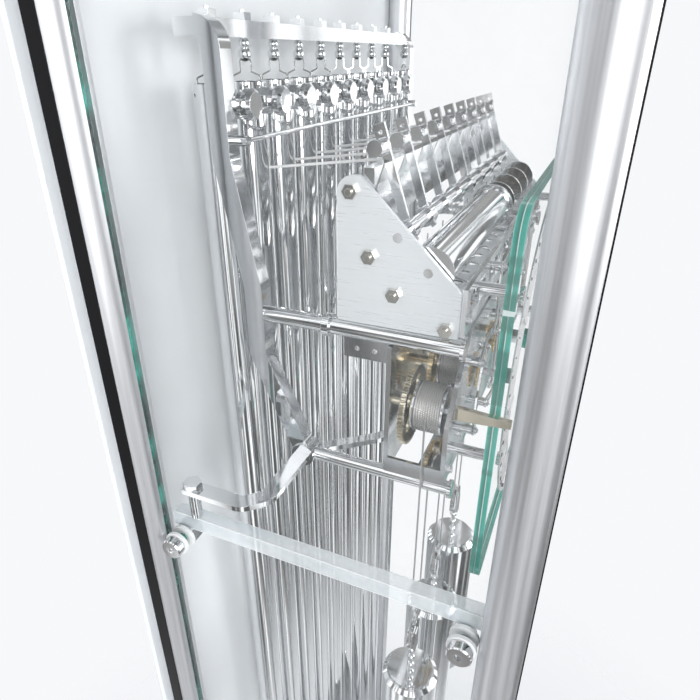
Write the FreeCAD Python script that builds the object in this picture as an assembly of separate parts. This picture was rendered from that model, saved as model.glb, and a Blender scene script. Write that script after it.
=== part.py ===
import FreeCAD, Part
import math
import os

# A floor clock with nine hanging bell tubes, an open chromed movement and a glass case.
# Millimetres. +Z up, front of the clock towards -Y, origin on the floor under the centre.

os.makedirs("parts", exist_ok=True)
V = FreeCAD.Vector
X = V(1, 0, 0)
Y = V(0, 1, 0)
Z = V(0, 0, 1)

# Driving dimensions of the case
case_width = 670.0
case_depth = 380.0
case_height = 2000.0
foot_height = 22.0
foot_radius = 24.0
foot_inset = 52.0
foot_pad_height = 6.0
foot_neck_radius = 9.0
plinth_height = 110.0
plinth_step_height = 12.0
plinth_step_inset = 10.0
plinth_corner = 22.0
plinth_wall = 18.0
plinth_base = 12.0
top_thickness = 24.0
top_corner = 22.0
post_radius = 16.0
post_side_margin = 11.0
post_front_margin = 17.0
post_rear_margin = 27.0
groove_depth = 4.0
groove_play = 0.2
side_glass_thickness = 6.0
back_thickness = 5.0
back_seat = 0.2
gasket_width = 12.0
gasket_recess = 1.2
gasket_proud = 0.9

# Front door
door_side_gap = 5.0
door_gap = 6.0
door_thickness = 20.0
door_rail = 26.0
door_corner = 3.0
door_glass_thickness = 5.0
door_groove = 6.0
door_pivot_inset = 12.0
pivot_radius = 3.0
pivot_length = 16.0
pivot_grip = 8.0
running_play = 0.05
knob_height = 1060.0
knob_inset = 13.0
knob_radius = 9.0
knob_length = 10.0
knob_neck_radius = 4.0
knob_neck = 8.0
knob_dome = 3.0
latch_length = 29.0
latch_width = 8.0
latch_thickness = 2.0
latch_clearance = 0.5

# Bell rack and bells
bell_count = 9
bell_pitch = 47.0
bell_radius = 16.0
bell_wall = 1.5
bell_y = 125.0
bell_top = 1730.0
bell_longest = 1540.0
bell_step = 24.0
bell_hole_drop = 8.0
bell_hole_radius = 1.7
bell_turn = -30.0
collar_drop = 14.0
collar_radius = 11.0
collar_length = 9.0
collar_sides = 8
collar_neck_radius = 8.0
collar_neck_length = 2.0
collar_knob_radius = 11.5
collar_knob_length = 10.0
collar_knob_lip = 2.5
rack_bottom = 1761.5
rack_height = 12.0
rack_depth = 18.0
upright_x = 210.0
upright_width = 16.0
upright_thickness = 14.0
upright_bend = 30.0
upright_top_bend = 14.0
upright_mid_y = 104.0
upright_mid_bottom = 1680.0
upright_low_y = 85.0
upright_low_top = 1580.0
upright_low_bottom = 1518.0
ball_radius = 5.5
small_ball_radius = 4.5
ball_z = 1750.0
hanger_rod_radius = 2.0
hanger_nut_width = 10.0
hanger_nut_height = 6.0
wire_size = 1.3
wire_leg = 5.0
wire_bend = 1.3
wire_drop = 4.0
wire_shoulder = 9.0
wire_flare = 4.0
wire_inset = 1.5
wire_hook = 1.0
guard_z = 1692.0
guard_radius = 2.0
guard_gap = 6.0
guard_screw_radius = 4.0

# Upper movement frame
plate_x = 210.0
plate_thickness = 4.0
plate_rear_y = 11.0
plate_front_y = -85.0
plate_crest_y = -7.0
plate_crest_z = 1675.0
plate_knee_z = 1599.0
plate_top_round = 13.0
plate_front_round = 6.0
plate_seat = 0.2
rest_bar_gap = 0.3
rest_bar_depth = 8.0
rest_bar_height = 12.0
rest_bar_z = 1668.0
rest_lug_thickness = 6.0
rest_lug_length = 36.0
rest_plate_thickness = 3.0
rest_plate_drop = 34.0
steady_radius = 1.2
steady_bar_drop = 3.0
steady_bell_z = 1662.0
steady_gap = 1.0
plate_bolt_radius = 5.0
plate_bolt_height = 4.0
plate_bolt_tip_radius = 2.6
plate_bolt_tip = 2.0
plate_bolts = ((0.0, 1664.0), (-15.0, 1618.0), (-35.0, 1591.0), (-76.0, 1570.0))

# Hammers
hammer_y = -36.0
hammer_z = 1634.0
hammer_shaft_radius = 3.5
hammer_hub_radius = 8.0
hammer_hub_width = 12.0
hammer_lean_y = 25.0
hammer_lean_z = 73.0
hammer_arm_width = 7.0
hammer_arm_thickness = 3.0
hammer_tab_width = 9.0
hammer_tab_length = 12.0
hammer_tab_hole = 1.6
hammer_head_reach = 62.0
hammer_head_offset = 4.0
hammer_head_radius = 6.5
hammer_head_length = 9.0
hammer_buffer_radius = 7.0
hammer_buffer_length = 3.0
hammer_tail = 10.5
hammer_tail_width = 4.0
hammer_spacer_radius = 5.5
hammer_spacer_play = 0.3

# Music drum
drum_y = -60.0
drum_z = 1611.0
drum_radius = 18.0
drum_wall = 2.0
drum_end_play = 1.5
drum_right_end = 17.0
drum_shaft_radius = 3.5
drum_pin_radius = 0.8
drum_pin_height = 1.8
drum_pins_each = 3
drum_pin_turn = 40.0
cam_radius = 13.0
cam_lobe = 5.0
cam_thickness = 5.0
cam_lobes = 4

# Struts, hubs, braces and lower cage
upper_strut_z = 1556.0
upper_strut_radius = 7.0
lower_strut_z = 1424.0
lower_strut_radius = 6.0
strut_front_y = -92.0
junction_y = 45.0
junction_radius = 11.0
junction_width = 18.0
collar_ring_radius = 9.5
collar_ring_width = 6.0
cage_front_y = -84.0
cage_back_y = -34.0
cage_plate = 4.0
cage_half_width = 216.0
cage_window_edge = 12.0
rail_height = 17.0
rail_hole_shares = (0.3, 0.7)
rail_hole_radius = 2.1
rail_thickness = 3.0
rail_rear_y = 6.0
shoulder_rise = 13.0
sill_height = 14.0
sill_thickness = 3.0
front_rail_top = 1601.0
front_rail_inset = 0.2
brace_width = 14.0
brace_thickness = 5.0
brace_bend = 12.0
brace_wall_inset = 12.0
brace_rear_y = 115.0
brace_turn_y = 60.0
tie_y = -16.0
tie_knee_x = 160.0
tie_width = 10.0
tie_bend = 24.0
crossbar_inset = 14.0
crossbar_width = 12.0
crossbar_height = 14.0
crossbar_top = 1395.0
crossbar_end_play = 0.3
standoff_radius = 5.0
standoff_head_radius = 7.0
standoff_head_height = 5.0
clamp_inset = 11.0
clamp_size = 16.0
clamp_chamfer = 1.0
clamp_bolt_radius = 4.0
clamp_washer_radius = 11.0
clamp_washer_play = 0.05
clamp_outer_washer = 3.0
clamp_cap_radius = 9.5
clamp_cap_length = 8.0
clamp_cap_chamfer = 1.0
clamp_socket_across = 6.0
clamp_socket_depth = 3.0

# Going train
centre_z = 1478.0
barrel_z = 1492.0
barrel_first_x = -198.0
barrel_pitch = 78.2
barrel_count = 3
barrel_radius = 20.0
barrel_flange = 22.0
barrel_flange_thickness = 2.0
barrel_groove = 0.7
barrel_grooves = 11
barrel_front_y = -80.0
barrel_back_y = -54.0
barrel_arbor = 4.0
gear_module = 1.2
gear_thickness = 4.0
great_teeth = 56
pinion_teeth = 14
great_gear_y = -52.0
centre_teeth = 42
third_pinion_teeth = 10
third_teeth = 36
escape_pinion_teeth = 8
train_module = 1.1
thin_wheel = 2.0
train_arbor = 2.0
centre_wheel_y = -45.0
third_wheel_y = -60.0
escape_wheel_y = -70.0
third_angle = 45.0
escape_teeth = 30
escape_radius = 15.0
escape_tooth = 3.0
tooth_tip_share = 0.2
tooth_root_share = 0.44
addendum_share = 0.75
dedendum_share = 1.05
crossing_share = 0.62
crossing_hole_share = 0.19
crossings = 5
anchor_z = 1533.0
anchor_span = 14.0
anchor_fall = 6.0
pallet_span = 11.5
pallet_drop = 9.5
anchor_bend = 2.0
anchor_width = 3.0
anchor_thickness = 3.0
anchor_hub_radius = 4.5
crutch_drop = 46.0
crutch_width = 5.0
crutch_thickness = 2.0
crutch_fork_gap = 0.3
crutch_y = 22.0
lever_root_radius = 6.0
lever_tip_radius = 3.0
lever_tip_y = -131.0
lever_thickness = 5.0
arbor_square = 5.0
arbor_square_tip_y = -119.0

# Pendulum
pendulum_y = 31.0
pendulum_length = 994.0
pendulum_rod_radius = 4.0
bob_radius = 95.0
bob_half_thickness = 13.0
bob_mid_share = 0.8
bob_rim = 2.0
rating_nut_radius = 9.0
rating_nut_height = 8.0
rod_tail = 24.0
spring_width = 9.0
spring_thickness = 0.5
spring_above = 5.0
spring_below = 10.0
cock_width = 20.0
cock_height = 10.0
cock_slot_play = 0.4
cock_gap = 2.0
cock_depth = 16.0

# Weights and cables
weight_radius = 29.0
weight_length = 230.0
weight_chamfer = 4.0
weight_tops = (1167.0, 1192.0, 1219.0)
weight_cap_radius = 24.0
weight_cap_height = 3.0
sheave_radius = 13.5
sheave_rim = 1.5
sheave_width = 5.0
sheave_rise = 58.0
sheave_axle = 2.0
fork_thickness = 2.0
fork_width = 9.0
fork_crown = 20.0
fork_play = 0.3
bead_radius = 4.0
bead_count = 3
stem_radius = 2.0
cable_radius = 0.8
cable_play = 0.1
cable_rail_width = 20.0
cable_rail_thickness = 6.0
cable_rail_play = 0.3
cable_hole_radius = 3.0
cable_post_radius = 2.5
cable_post_height = 9.0

# Motion work between the minute and the hour hand
motion_module = 0.8
cannon_teeth = 14
minute_wheel_teeth = 42
minute_pinion_teeth = 12
hour_wheel_teeth = 48
motion_thickness = 2.0
motion_angle = -35.0
stud_head_play = 0.3
stud_head_height = 1.5
stud_head_radius = 3.5

# Dial and hands
dial_half_width = 190.0
dial_bottom = 1300.0
dial_top = 1657.0
dial_corner = 24.0
dial_y = -121.0
dial_thickness = 9.0
dial_hole_radius = 9.0
wind_hole_radius = 7.0
ring_outer = 166.0
ring_inner = 126.0
ring_thickness = 1.5
marker_length = 26.0
marker_width = 5.0
marker_count = 12
dial_post_x = 174.0
dial_post_radius = 5.0
dial_post_upper_z = 1592.0
dial_post_lower_z = 1440.0
dial_screw_radius = 6.0
dial_screw_height = 3.0
hour_length = 92.0
minute_length = 138.0
hand_thickness = 1.5
hand_root_width = 12.0
hand_tip_width = 3.0
hand_tail = 26.0
hand_gap = 1.2
hour_angle = -60.0
minute_angle = 60.0
hour_pipe_radius = 6.0
minute_pipe_radius = 4.0
hand_nut_radius = 5.0
hand_nut_height = 2.0

# Overrun of every cut, and the play left where curved pieces of one body meet
overrun = 4.0
seat_play = 0.05

# Sizes worked out from the driving dimensions
post_x = case_width / 2 - post_side_margin - post_radius
post_front = case_depth / 2 - post_front_margin - post_radius
post_rear = case_depth / 2 - post_rear_margin - post_radius
deck_z = foot_height + plinth_height + plinth_step_height
roof_z = case_height - top_thickness
rack_half = upright_x + upright_thickness / 2
plate_bottom = upper_strut_z + upper_strut_radius + plate_seat
cage_bottom = lower_strut_z + lower_strut_radius + plate_seat
cage_top = upper_strut_z - upper_strut_radius - plate_seat
cage_front = cage_front_y + cage_plate / 2
cage_rear = cage_back_y - cage_plate / 2
cannon_y = cage_front_y - cage_plate / 2 - hand_gap - motion_thickness
hour_wheel_y = cannon_y - hand_gap - motion_thickness
barrel_xs = [barrel_first_x + barrel_pitch * n for n in range(barrel_count)]
bell_xs = [bell_pitch * (k - (bell_count - 1) / 2) for k in range(bell_count)]
crossbar_bottom = crossbar_top - crossbar_height
crossbar_front_y = -post_front + post_radius + crossbar_end_play
crossbar_rear_y = post_rear - post_radius - crossbar_end_play
clamp_z = crossbar_bottom - clamp_size / 2
clamp_front_y = crossbar_front_y + clamp_inset
clamp_rear_y = crossbar_rear_y - clamp_inset
great_radius = gear_module * great_teeth / 2
door_width = (post_x - post_radius - door_side_gap) * 2
door_pivot_x = door_width / 2 - door_pivot_inset
brace_wall_x = post_x - brace_wall_inset
crossbar_x = post_x - crossbar_inset
hammer_lean = math.atan2(hammer_lean_y, hammer_lean_z)
rest_bar_top = rest_bar_z + rest_bar_height
rest_bar_y = (hammer_y + (rest_bar_top - hammer_z) * math.tan(hammer_lean)
              + hammer_arm_width / 2 / math.cos(hammer_lean) + rest_bar_gap)

nodes = {}


def add(name, *solids):
    nodes.setdefault(name, []).extend(solids)


def block(low, high):
    size = high - low
    return Part.makeBox(size.x, size.y, size.z, low)


def slab(one, other, low, high):
    """A box between two opposite corners of its plan, in any order, from one height to another."""
    return block(V(min(one.x, other.x), min(one.y, other.y), low),
                 V(max(one.x, other.x), max(one.y, other.y), high))


def bar(start, end, radius):
    return Part.makeCylinder(radius, (end - start).Length, start, end - start)


def pipe(start, end, outer, inner):
    return bar(start, end, outer).cut(bar(start, end, inner))


def mirrored(shape):
    return shape.mirror(V(0, 0, 0), X)


def plane_yz(a, b):
    return V(0, a, b)


def plane_xz(a, b):
    return V(a, 0, b)


def plane_xy(a, b):
    return V(a, b, 0)


def prism(outline, place, start, push):
    """Closed outline of flat points, set in a plane, moved to start and pushed out."""
    points = [place(a, b) + start for a, b in outline]
    return Part.Face(Part.makePolygon(points + points[:1])).extrude(push)


def rounded_box(low, high, radius):
    solid = block(low, high)
    upright = [e for e in solid.Edges
               if abs(e.tangentAt(e.FirstParameter).z) > abs(e.tangentAt(e.FirstParameter).x)
               and abs(e.tangentAt(e.FirstParameter).z) > abs(e.tangentAt(e.FirstParameter).y)]
    return solid.makeFillet(radius, upright)


def turned(profile, base, axis_x, axis_z):
    """Turn a closed profile of (radius, height) points about the axis through base."""
    points = [base + axis_x * r + axis_z * h for r, h in profile]
    return Part.Face(Part.makePolygon(points + points[:1])).revolve(base, axis_z, 360)


def corner_edges(points, radii):
    """Straight runs joined by tangent arcs through flat points."""
    edges = []
    last = points[0]
    for n in range(1, len(points) - 1):
        corner = points[n]
        into = (corner - points[n - 1]).normalize()
        out = (points[n + 1] - corner).normalize()
        half = into.getAngle(out) / 2
        reach = radii[n] * math.tan(half)
        begin = corner - into * reach
        finish = corner + out * reach
        bisector = (out - into).normalize()
        middle = corner + bisector * (radii[n] / math.cos(half) - radii[n])
        edges.append(Part.LineSegment(last, begin).toShape())
        edges.append(Part.Arc(begin, middle, finish).toShape())
        last = finish
    edges.append(Part.LineSegment(last, points[-1]).toShape())
    return edges


def band(path, width, bends, place, start, push):
    """A flat strip of one width that follows a bent path, pushed out to its thickness."""
    points = [place(a, b) for a, b in path]
    normal = place(1, 0).cross(place(0, 1))
    runs = [(points[n + 1] - points[n]).normalize() for n in range(len(points) - 1)]
    sides = []
    for side in (width / 2, -width / 2):
        line = []
        radii = []
        for n, point in enumerate(points):
            before = runs[max(n - 1, 0)]
            after = runs[min(n, len(runs) - 1)]
            left = normal.cross(before)
            turn = before.getAngle(after)
            sign = 1 if normal.dot(before.cross(after)) > 0 else -1
            miter = (normal.cross(before) + normal.cross(after)).normalize()
            line.append(point + miter * (side / miter.dot(left)))
            radii.append(bends[n] - sign * side if turn > 0 else 0)
        sides.append(corner_edges([p + start for p in line], radii))
    first, second = sides
    ends = [Part.LineSegment(first[-1].Vertexes[-1].Point, second[-1].Vertexes[-1].Point).toShape(),
            Part.LineSegment(second[0].Vertexes[0].Point, first[0].Vertexes[0].Point).toShape()]
    wire = Part.Wire(Part.__sortEdges__(first + ends + second))
    return Part.Face(wire).extrude(push)


def toothed(teeth, module, centre, thickness, phase, bore):
    """A spur wheel about an axis along Y, with crossings cut out of a large one."""
    pitch_radius = module * teeth / 2
    tip = pitch_radius + module * addendum_share
    root = pitch_radius - module * dedendum_share
    step = 2 * math.pi / teeth
    outline = []
    for n in range(teeth):
        middle = phase + step * n
        for radius, share in ((root, -tooth_root_share), (tip, -tooth_tip_share),
                              (tip, tooth_tip_share), (root, tooth_root_share)):
            angle = middle + step * share / 2
            outline.append((radius * math.cos(angle), radius * math.sin(angle)))
    wheel = prism(outline, plane_xz, centre, Y * thickness)
    cutters = [bar(centre - Y * overrun, centre + Y * (thickness + overrun), bore)]
    if teeth > pinion_teeth + crossings:
        for n in range(crossings):
            angle = phase + 2 * math.pi * n / crossings
            place = centre + plane_xz(math.cos(angle), math.sin(angle)) * (root * crossing_share)
            cutters.append(bar(place - Y * overrun, place + Y * (thickness + overrun),
                               root * crossing_hole_share))
    return wheel.cut(cutters)


def hexagon(centre, axis_one, axis_two, across):
    reach = across / math.sqrt(3)
    points = [centre + axis_one * (reach * math.cos(math.radians(60 * n)))
              + axis_two * (reach * math.sin(math.radians(60 * n))) for n in range(6)]
    return Part.Face(Part.makePolygon(points + points[:1]))


# Case: feet, plinth, posts, glass, back and roof
def build_case():
    half = V(case_width / 2, case_depth / 2, 0)
    for sx in (-1, 1):
        for sy in (-1, 1):
            base = V(sx * (half.x - foot_inset), sy * (half.y - foot_inset), 0)
            profile = ((0, 0), (foot_radius, 0), (foot_radius, foot_pad_height),
                       (foot_neck_radius, foot_pad_height + foot_pad_height / 2),
                       (foot_neck_radius, foot_height), (0, foot_height))
            add("plinth", turned(profile, base, X, Z))
    base_top = foot_height + plinth_base
    deck_bottom = foot_height + plinth_height
    add("plinth", rounded_box(V(-half.x, -half.y, foot_height), V(half.x, half.y, base_top), plinth_corner))
    walls = rounded_box(V(-half.x, -half.y, base_top), V(half.x, half.y, deck_bottom), plinth_corner)
    inside = V(half.x - plinth_wall, half.y - plinth_wall, 0)
    add("plinth", walls.cut(block(Z * foot_height - inside, Z * deck_z + inside)))
    step = V(plinth_step_inset, plinth_step_inset, 0)
    deck = rounded_box(V(-half.x, -half.y, deck_bottom) + step, V(half.x, half.y, deck_z) - step,
                       plinth_corner - plinth_step_inset)
    roof = rounded_box(V(-half.x, -half.y, roof_z), V(half.x, half.y, case_height), top_corner)
    top_edges = [e for e in roof.Edges if e.BoundBox.ZMin > case_height - top_thickness / 2]
    roof = roof.makeChamfer(top_thickness / 4, top_edges)
    socket = pivot_grip + seat_play
    sockets = [bar(V(door_pivot_x, -post_front, z - sign * socket),
                   V(door_pivot_x, -post_front, z + sign * overrun),
                   pivot_radius + running_play) for z, sign in ((deck_z, 1), (roof_z, -1))]
    add("plinth", deck.cut(sockets))
    add("roof_plate", roof.cut(sockets))

    pane_half = side_glass_thickness / 2
    pane_front = -post_front + post_radius - groove_depth
    pane_rear = post_rear - post_radius + groove_depth
    clamp_holes = [bar(V(-case_width, y, clamp_z), V(case_width, y, clamp_z),
                       clamp_bolt_radius + running_play)
                   for y in (clamp_front_y, clamp_rear_y)]
    for sx in (-1, 1):
        x = sx * post_x
        pane = block(V(x - pane_half, pane_front, deck_z), V(x + pane_half, pane_rear, roof_z))
        add("side_glass", pane.cut(clamp_holes))
        slot = pane_half + groove_play
        groove = block(V(x - slot, pane_front - groove_play, deck_z - overrun),
                       V(x + slot, pane_rear + groove_play, roof_z + overrun))
        for y in (-post_front, post_rear):
            post = bar(V(x, y, deck_z), V(x, y, roof_z), post_radius)
            centre = V(x, y, 0)
            outward = -Y if y < 0 else X * sx
            across = X if y < 0 else Y
            floor = centre + outward * (post_radius - gasket_recess)
            side = across * (gasket_width / 2)
            play = across * groove_play
            recess = slab(floor - side, floor + side + outward * overrun, deck_z - overrun, roof_z + overrun)
            gasket = slab(floor - side + play, floor + side - play + outward * gasket_proud, deck_z, roof_z)
            add("corner_posts", post.cut([groove, recess]), gasket)
    back_y = post_rear + post_radius + back_seat
    add("back_panel", block(V(-post_x - post_radius, back_y, deck_z),
                            V(post_x + post_radius, back_y + back_thickness, roof_z)))


# Front door with its pivots and turn latch
def build_door():
    low = deck_z + door_gap
    high = roof_z - door_gap
    half = door_width / 2
    front = -post_front - door_thickness / 2
    rear = -post_front + door_thickness / 2
    frame = rounded_box(V(-half, front, low), V(half, rear, high), door_corner)
    opening = block(V(-half + door_rail, front - overrun, low + door_rail),
                    V(half - door_rail, rear + overrun, high - door_rail))
    pane_y = door_glass_thickness / 2
    slot_y = pane_y + groove_play
    edge = door_rail - door_groove
    slot = block(V(-half + edge - groove_play, -post_front - slot_y, low + edge - groove_play),
                 V(half - edge + groove_play, -post_front + slot_y, high - edge + groove_play))
    bores = []
    for z, sign in ((low, 1), (high, -1)):
        root = V(door_pivot_x, -post_front, z + sign * pivot_length)
        pin = bar(root, root - Z * (sign * (pivot_length + door_gap + pivot_grip)), pivot_radius)
        bores.append(pin)
        add("door_frame", pin)
    spindle = V(-half + knob_inset, 0, knob_height)
    bores.append(bar(spindle + Y * (front - overrun), spindle + Y * (rear + overrun),
                     knob_neck_radius + running_play))
    add("door_frame", frame.cut([opening, slot] + bores))
    add("door_glass", block(V(-half + edge, -post_front - pane_y, low + edge),
                            V(half - edge, -post_front + pane_y, high - edge)))

    tongue_front = -post_front + math.sqrt(post_radius ** 2 - (post_x + spindle.x - latch_length) ** 2)
    tongue_rear = tongue_front + latch_clearance + latch_thickness
    neck = tongue_rear - front + knob_neck
    rim = neck + knob_length
    profile = ((0, 0), (knob_neck_radius, 0), (knob_neck_radius, neck), (knob_radius, neck),
               (knob_radius, rim),
               (knob_radius - knob_dome, rim + knob_dome), (0, rim + knob_dome))
    knob = turned(profile, V(spindle.x, tongue_rear, spindle.z), X, -Y)
    tongue = block(V(spindle.x - latch_width / 2, tongue_rear - latch_thickness,
                     spindle.z - latch_width / 2),
                   V(spindle.x + latch_width / 2, tongue_rear, spindle.z + latch_length))
    add("door_knob", knob.fuse(tongue).removeSplitter())


# Bell rack: crossbar, two bent uprights, guard rail, hangers
def build_rack():
    top = rack_bottom + rack_height
    crossbar = block(V(-rack_half, bell_y - rack_depth / 2, rack_bottom),
                     V(rack_half, bell_y + rack_depth / 2, top))
    holes = [bar(V(x, bell_y, rack_bottom - overrun), V(x, bell_y, top + overrun), hanger_rod_radius)
             for x in bell_xs]
    add("bell_rack", crossbar.cut(holes))

    middle = rack_bottom + rack_height / 2
    path = ((bell_y, middle), (upright_mid_y, middle), (upright_mid_y, upright_mid_bottom),
            (upright_low_y, upright_low_top), (upright_low_y, upright_low_bottom),
            (junction_y, lower_strut_z))
    bends = (0, upright_top_bend, upright_bend, upright_bend, upright_bend, 0)
    upright = band(path, upright_width, bends, plane_yz, X * (upright_x - upright_thickness / 2),
                   X * upright_thickness)
    hub_start = V(upright_x - junction_width / 2, junction_y, lower_strut_z)
    hub_end = hub_start + X * junction_width
    hub = bar(hub_start, hub_end, junction_radius + seat_play)
    below = block(V(0, junction_y - junction_width * 2, lower_strut_z - junction_width * 2),
                  V(case_width / 2, junction_y + junction_width * 2, lower_strut_z))
    crossbar_face = bell_y - rack_depth / 2
    beside = block(V(0, crossbar_face, rack_bottom - upright_width),
                   V(case_width / 2, crossbar_face + upright_width, top + upright_width))
    upright = upright.cut([hub, below, beside])
    for piece in (upright, mirrored(upright)):
        add("bell_rack", piece)

    guard_y = upright_mid_y - upright_width / 2 - guard_gap
    reach = upright_x - upright_thickness / 2
    add("bell_rack", bar(V(-reach, guard_y, guard_z), V(reach, guard_y, guard_z), guard_radius))
    for sx in (-1, 1):
        x = sx * (upright_x - upright_thickness / 2 + guard_radius)
        screw = bar(V(x, guard_y - guard_screw_radius, guard_z),
                    V(x, upright_mid_y - upright_width / 2, guard_z),
                    guard_screw_radius)
        rail = bar(V(-reach - guard_radius, guard_y, guard_z), V(reach + guard_radius, guard_y, guard_z),
                   guard_radius)
        add("bell_rack", screw.cut(rail))

    across = math.radians(bell_turn)
    along = V(math.cos(across), math.sin(across), 0)
    for x in bell_xs:
        base = V(x, bell_y, 0)
        lower = Part.makeSphere(ball_radius, base + Z * ball_z)
        upper_z = rack_bottom - small_ball_radius + hanger_rod_radius / 2
        upper = Part.makeSphere(small_ball_radius, base + Z * upper_z)
        rod = bar(base + Z * ball_z, base + Z * (top + hanger_nut_height + hanger_rod_radius),
                  hanger_rod_radius)
        cap = block(V(x - ball_radius, bell_y - ball_radius, rack_bottom),
                    V(x + ball_radius, bell_y + ball_radius, top))
        eye_z = ball_z - wire_drop
        eye = bar(base + Z * eye_z - along * (ball_radius * 2), base + Z * eye_z + along * (ball_radius * 2),
                  wire_size / math.sqrt(2) + running_play)
        add("bell_hangers", lower.fuse(upper.cut(cap)).fuse(rod).removeSplitter().cut(eye))
        nut = block(V(x - hanger_nut_width / 2, bell_y - hanger_nut_width / 2, top),
                    V(x + hanger_nut_width / 2, bell_y + hanger_nut_width / 2, top + hanger_nut_height))
        add("bell_hangers", nut.cut(bar(base + Z * (top - overrun), base + Z * (case_height),
                                        hanger_rod_radius)))


# Bells: tube, wire stirrup and faceted striking boss with its knob
def build_bells():
    turn = math.radians(bell_turn)
    along = V(math.cos(turn), math.sin(turn), 0)
    for k, x in enumerate(bell_xs):
        name = "bell_%d" % (k + 1)
        base = V(x, bell_y, 0)
        foot = base + Z * (bell_top - bell_longest + bell_step * k)
        head = base + Z * bell_top
        hole_z = Z * (bell_top - bell_hole_drop)
        hole = bar(base + hole_z - along * (bell_radius * 2), base + hole_z + along * (bell_radius * 2),
                   bell_hole_radius)
        tube = pipe(foot, head, bell_radius, bell_radius - bell_wall).cut(hole)
        add(name, tube)

        leg = bell_radius - bell_wall - wire_inset
        hook = bell_radius + wire_hook
        eye_z = ball_z - wire_drop
        path = ((-hook, hole_z.z), (-leg, hole_z.z), (-leg, bell_top + wire_flare),
                (-wire_leg, eye_z - wire_shoulder),
                (-wire_leg, eye_z), (wire_leg, eye_z), (wire_leg, eye_z - wire_shoulder),
                (leg, bell_top + wire_flare),
                (leg, hole_z.z), (hook, hole_z.z))
        bends = [wire_bend] * len(path)
        wire = band(path, wire_size, bends, plane_xz, Y * (-wire_size / 2), Y * wire_size)
        wire.rotate(V(0, 0, 0), Z, bell_turn)
        wire.translate(base)
        add(name, wire)

        boss_z = bell_top - collar_drop
        face_y = bell_y - math.sqrt(bell_radius ** 2 - collar_radius ** 2)
        front_y = bell_y - bell_radius - collar_length
        outline = [(collar_radius * math.cos(2 * math.pi * (n + 1 / 2) / collar_sides),
                    collar_radius * math.sin(2 * math.pi * (n + 1 / 2) / collar_sides))
                   for n in range(collar_sides)]
        boss = prism(outline, plane_xz, V(x, front_y, boss_z), Y * (face_y - front_y))
        boss = boss.cut(bar(foot, head + Z * overrun, bell_radius + seat_play))
        rear = collar_neck_length
        front = collar_neck_length + collar_knob_length
        profile = ((0, 0), (collar_neck_radius, 0), (collar_neck_radius, rear),
                   (collar_knob_radius - collar_knob_lip, rear),
                   (collar_knob_radius, rear + collar_knob_lip),
                   (collar_knob_radius, front - collar_knob_lip),
                   (collar_knob_radius - collar_knob_lip, front), (0, front))
        knob = turned(profile, V(x, front_y, boss_z), X, -Y)
        add(name, boss.fuse(knob).removeSplitter())


# Side plates of the movement with their bolts, the hammer rest bar and the steady rods
def build_upper_frame():
    outline = ((plate_rear_y, plate_bottom), (plate_rear_y, plate_crest_z), (plate_crest_y, plate_crest_z),
               (plate_front_y, plate_knee_z), (plate_front_y, plate_bottom))
    plate = prism(outline, plane_yz, X * (plate_x - plate_thickness / 2), X * plate_thickness)
    crest = [e for e in plate.Edges if e.BoundBox.ZMin > plate_knee_z
             and e.BoundBox.XLength > plate_thickness / 2]
    plate = plate.makeFillet(plate_top_round,
                             [e for e in crest if e.BoundBox.YMin > plate_rear_y - plate_thickness])
    knee = [e for e in plate.Edges if e.BoundBox.YMax < plate_front_y + plate_thickness
            and e.BoundBox.ZMin > plate_knee_z - plate_thickness]
    plate = plate.makeFillet(plate_front_round,
                             [e for e in knee if e.BoundBox.XLength > plate_thickness / 2])
    through = (-X * overrun, X * (plate_x * 2))
    cutters = [bar(V(0, hammer_y, hammer_z) + through[0], V(0, hammer_y, hammer_z) + through[1],
                   hammer_shaft_radius),
               bar(V(0, drum_y, drum_z) + through[0], V(0, drum_y, drum_z) + through[1],
                   drum_shaft_radius + running_play)]
    plate = plate.cut(cutters)
    for piece in (plate, mirrored(plate)):
        add("movement_side_plates", piece)

    outer = plate_x + plate_thickness / 2
    for y, z in plate_bolts:
        start = V(outer, y, z)
        head = hexagon(start, Y, Z, plate_bolt_radius * 2).extrude(X * plate_bolt_height)
        tip = bar(start + X * plate_bolt_height, start + X * (plate_bolt_height + plate_bolt_tip),
                  plate_bolt_tip_radius)
        bolt = head.fuse(tip).removeSplitter()
        add("movement_side_plates", bolt, mirrored(bolt))

    inner = plate_x - plate_thickness / 2
    rest = block(V(-inner, rest_bar_y, rest_bar_z),
                 V(inner, rest_bar_y + rest_bar_depth, rest_bar_z + rest_bar_height))
    lug = block(V(inner - rest_lug_thickness, rest_bar_y, rest_bar_z - rest_lug_length),
                V(inner, rest_bar_y + rest_bar_depth, rest_bar_z))
    apron = block(V(-inner, rest_bar_y + rest_bar_depth - rest_plate_thickness,
                    rest_bar_z - rest_plate_drop),
                  V(inner, rest_bar_y + rest_bar_depth, rest_bar_z))
    add("hammer_rest_bar", rest.fuse([apron, lug, mirrored(lug)]).removeSplitter())

    rear_y = rest_bar_y + rest_bar_depth
    for x in bell_xs[1:]:
        start = V(x, rear_y, rest_bar_z + rest_bar_height - steady_bar_drop)
        end = V(x, bell_y - bell_radius - steady_gap, steady_bell_z)
        whole = bar(start - (end - start).normalize() * overrun, end, steady_radius)
        face = block(V(x - overrun, rest_bar_y, rest_bar_z), V(x + overrun, rear_y, case_height))
        add("steady_rods", whole.cut(face))


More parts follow.
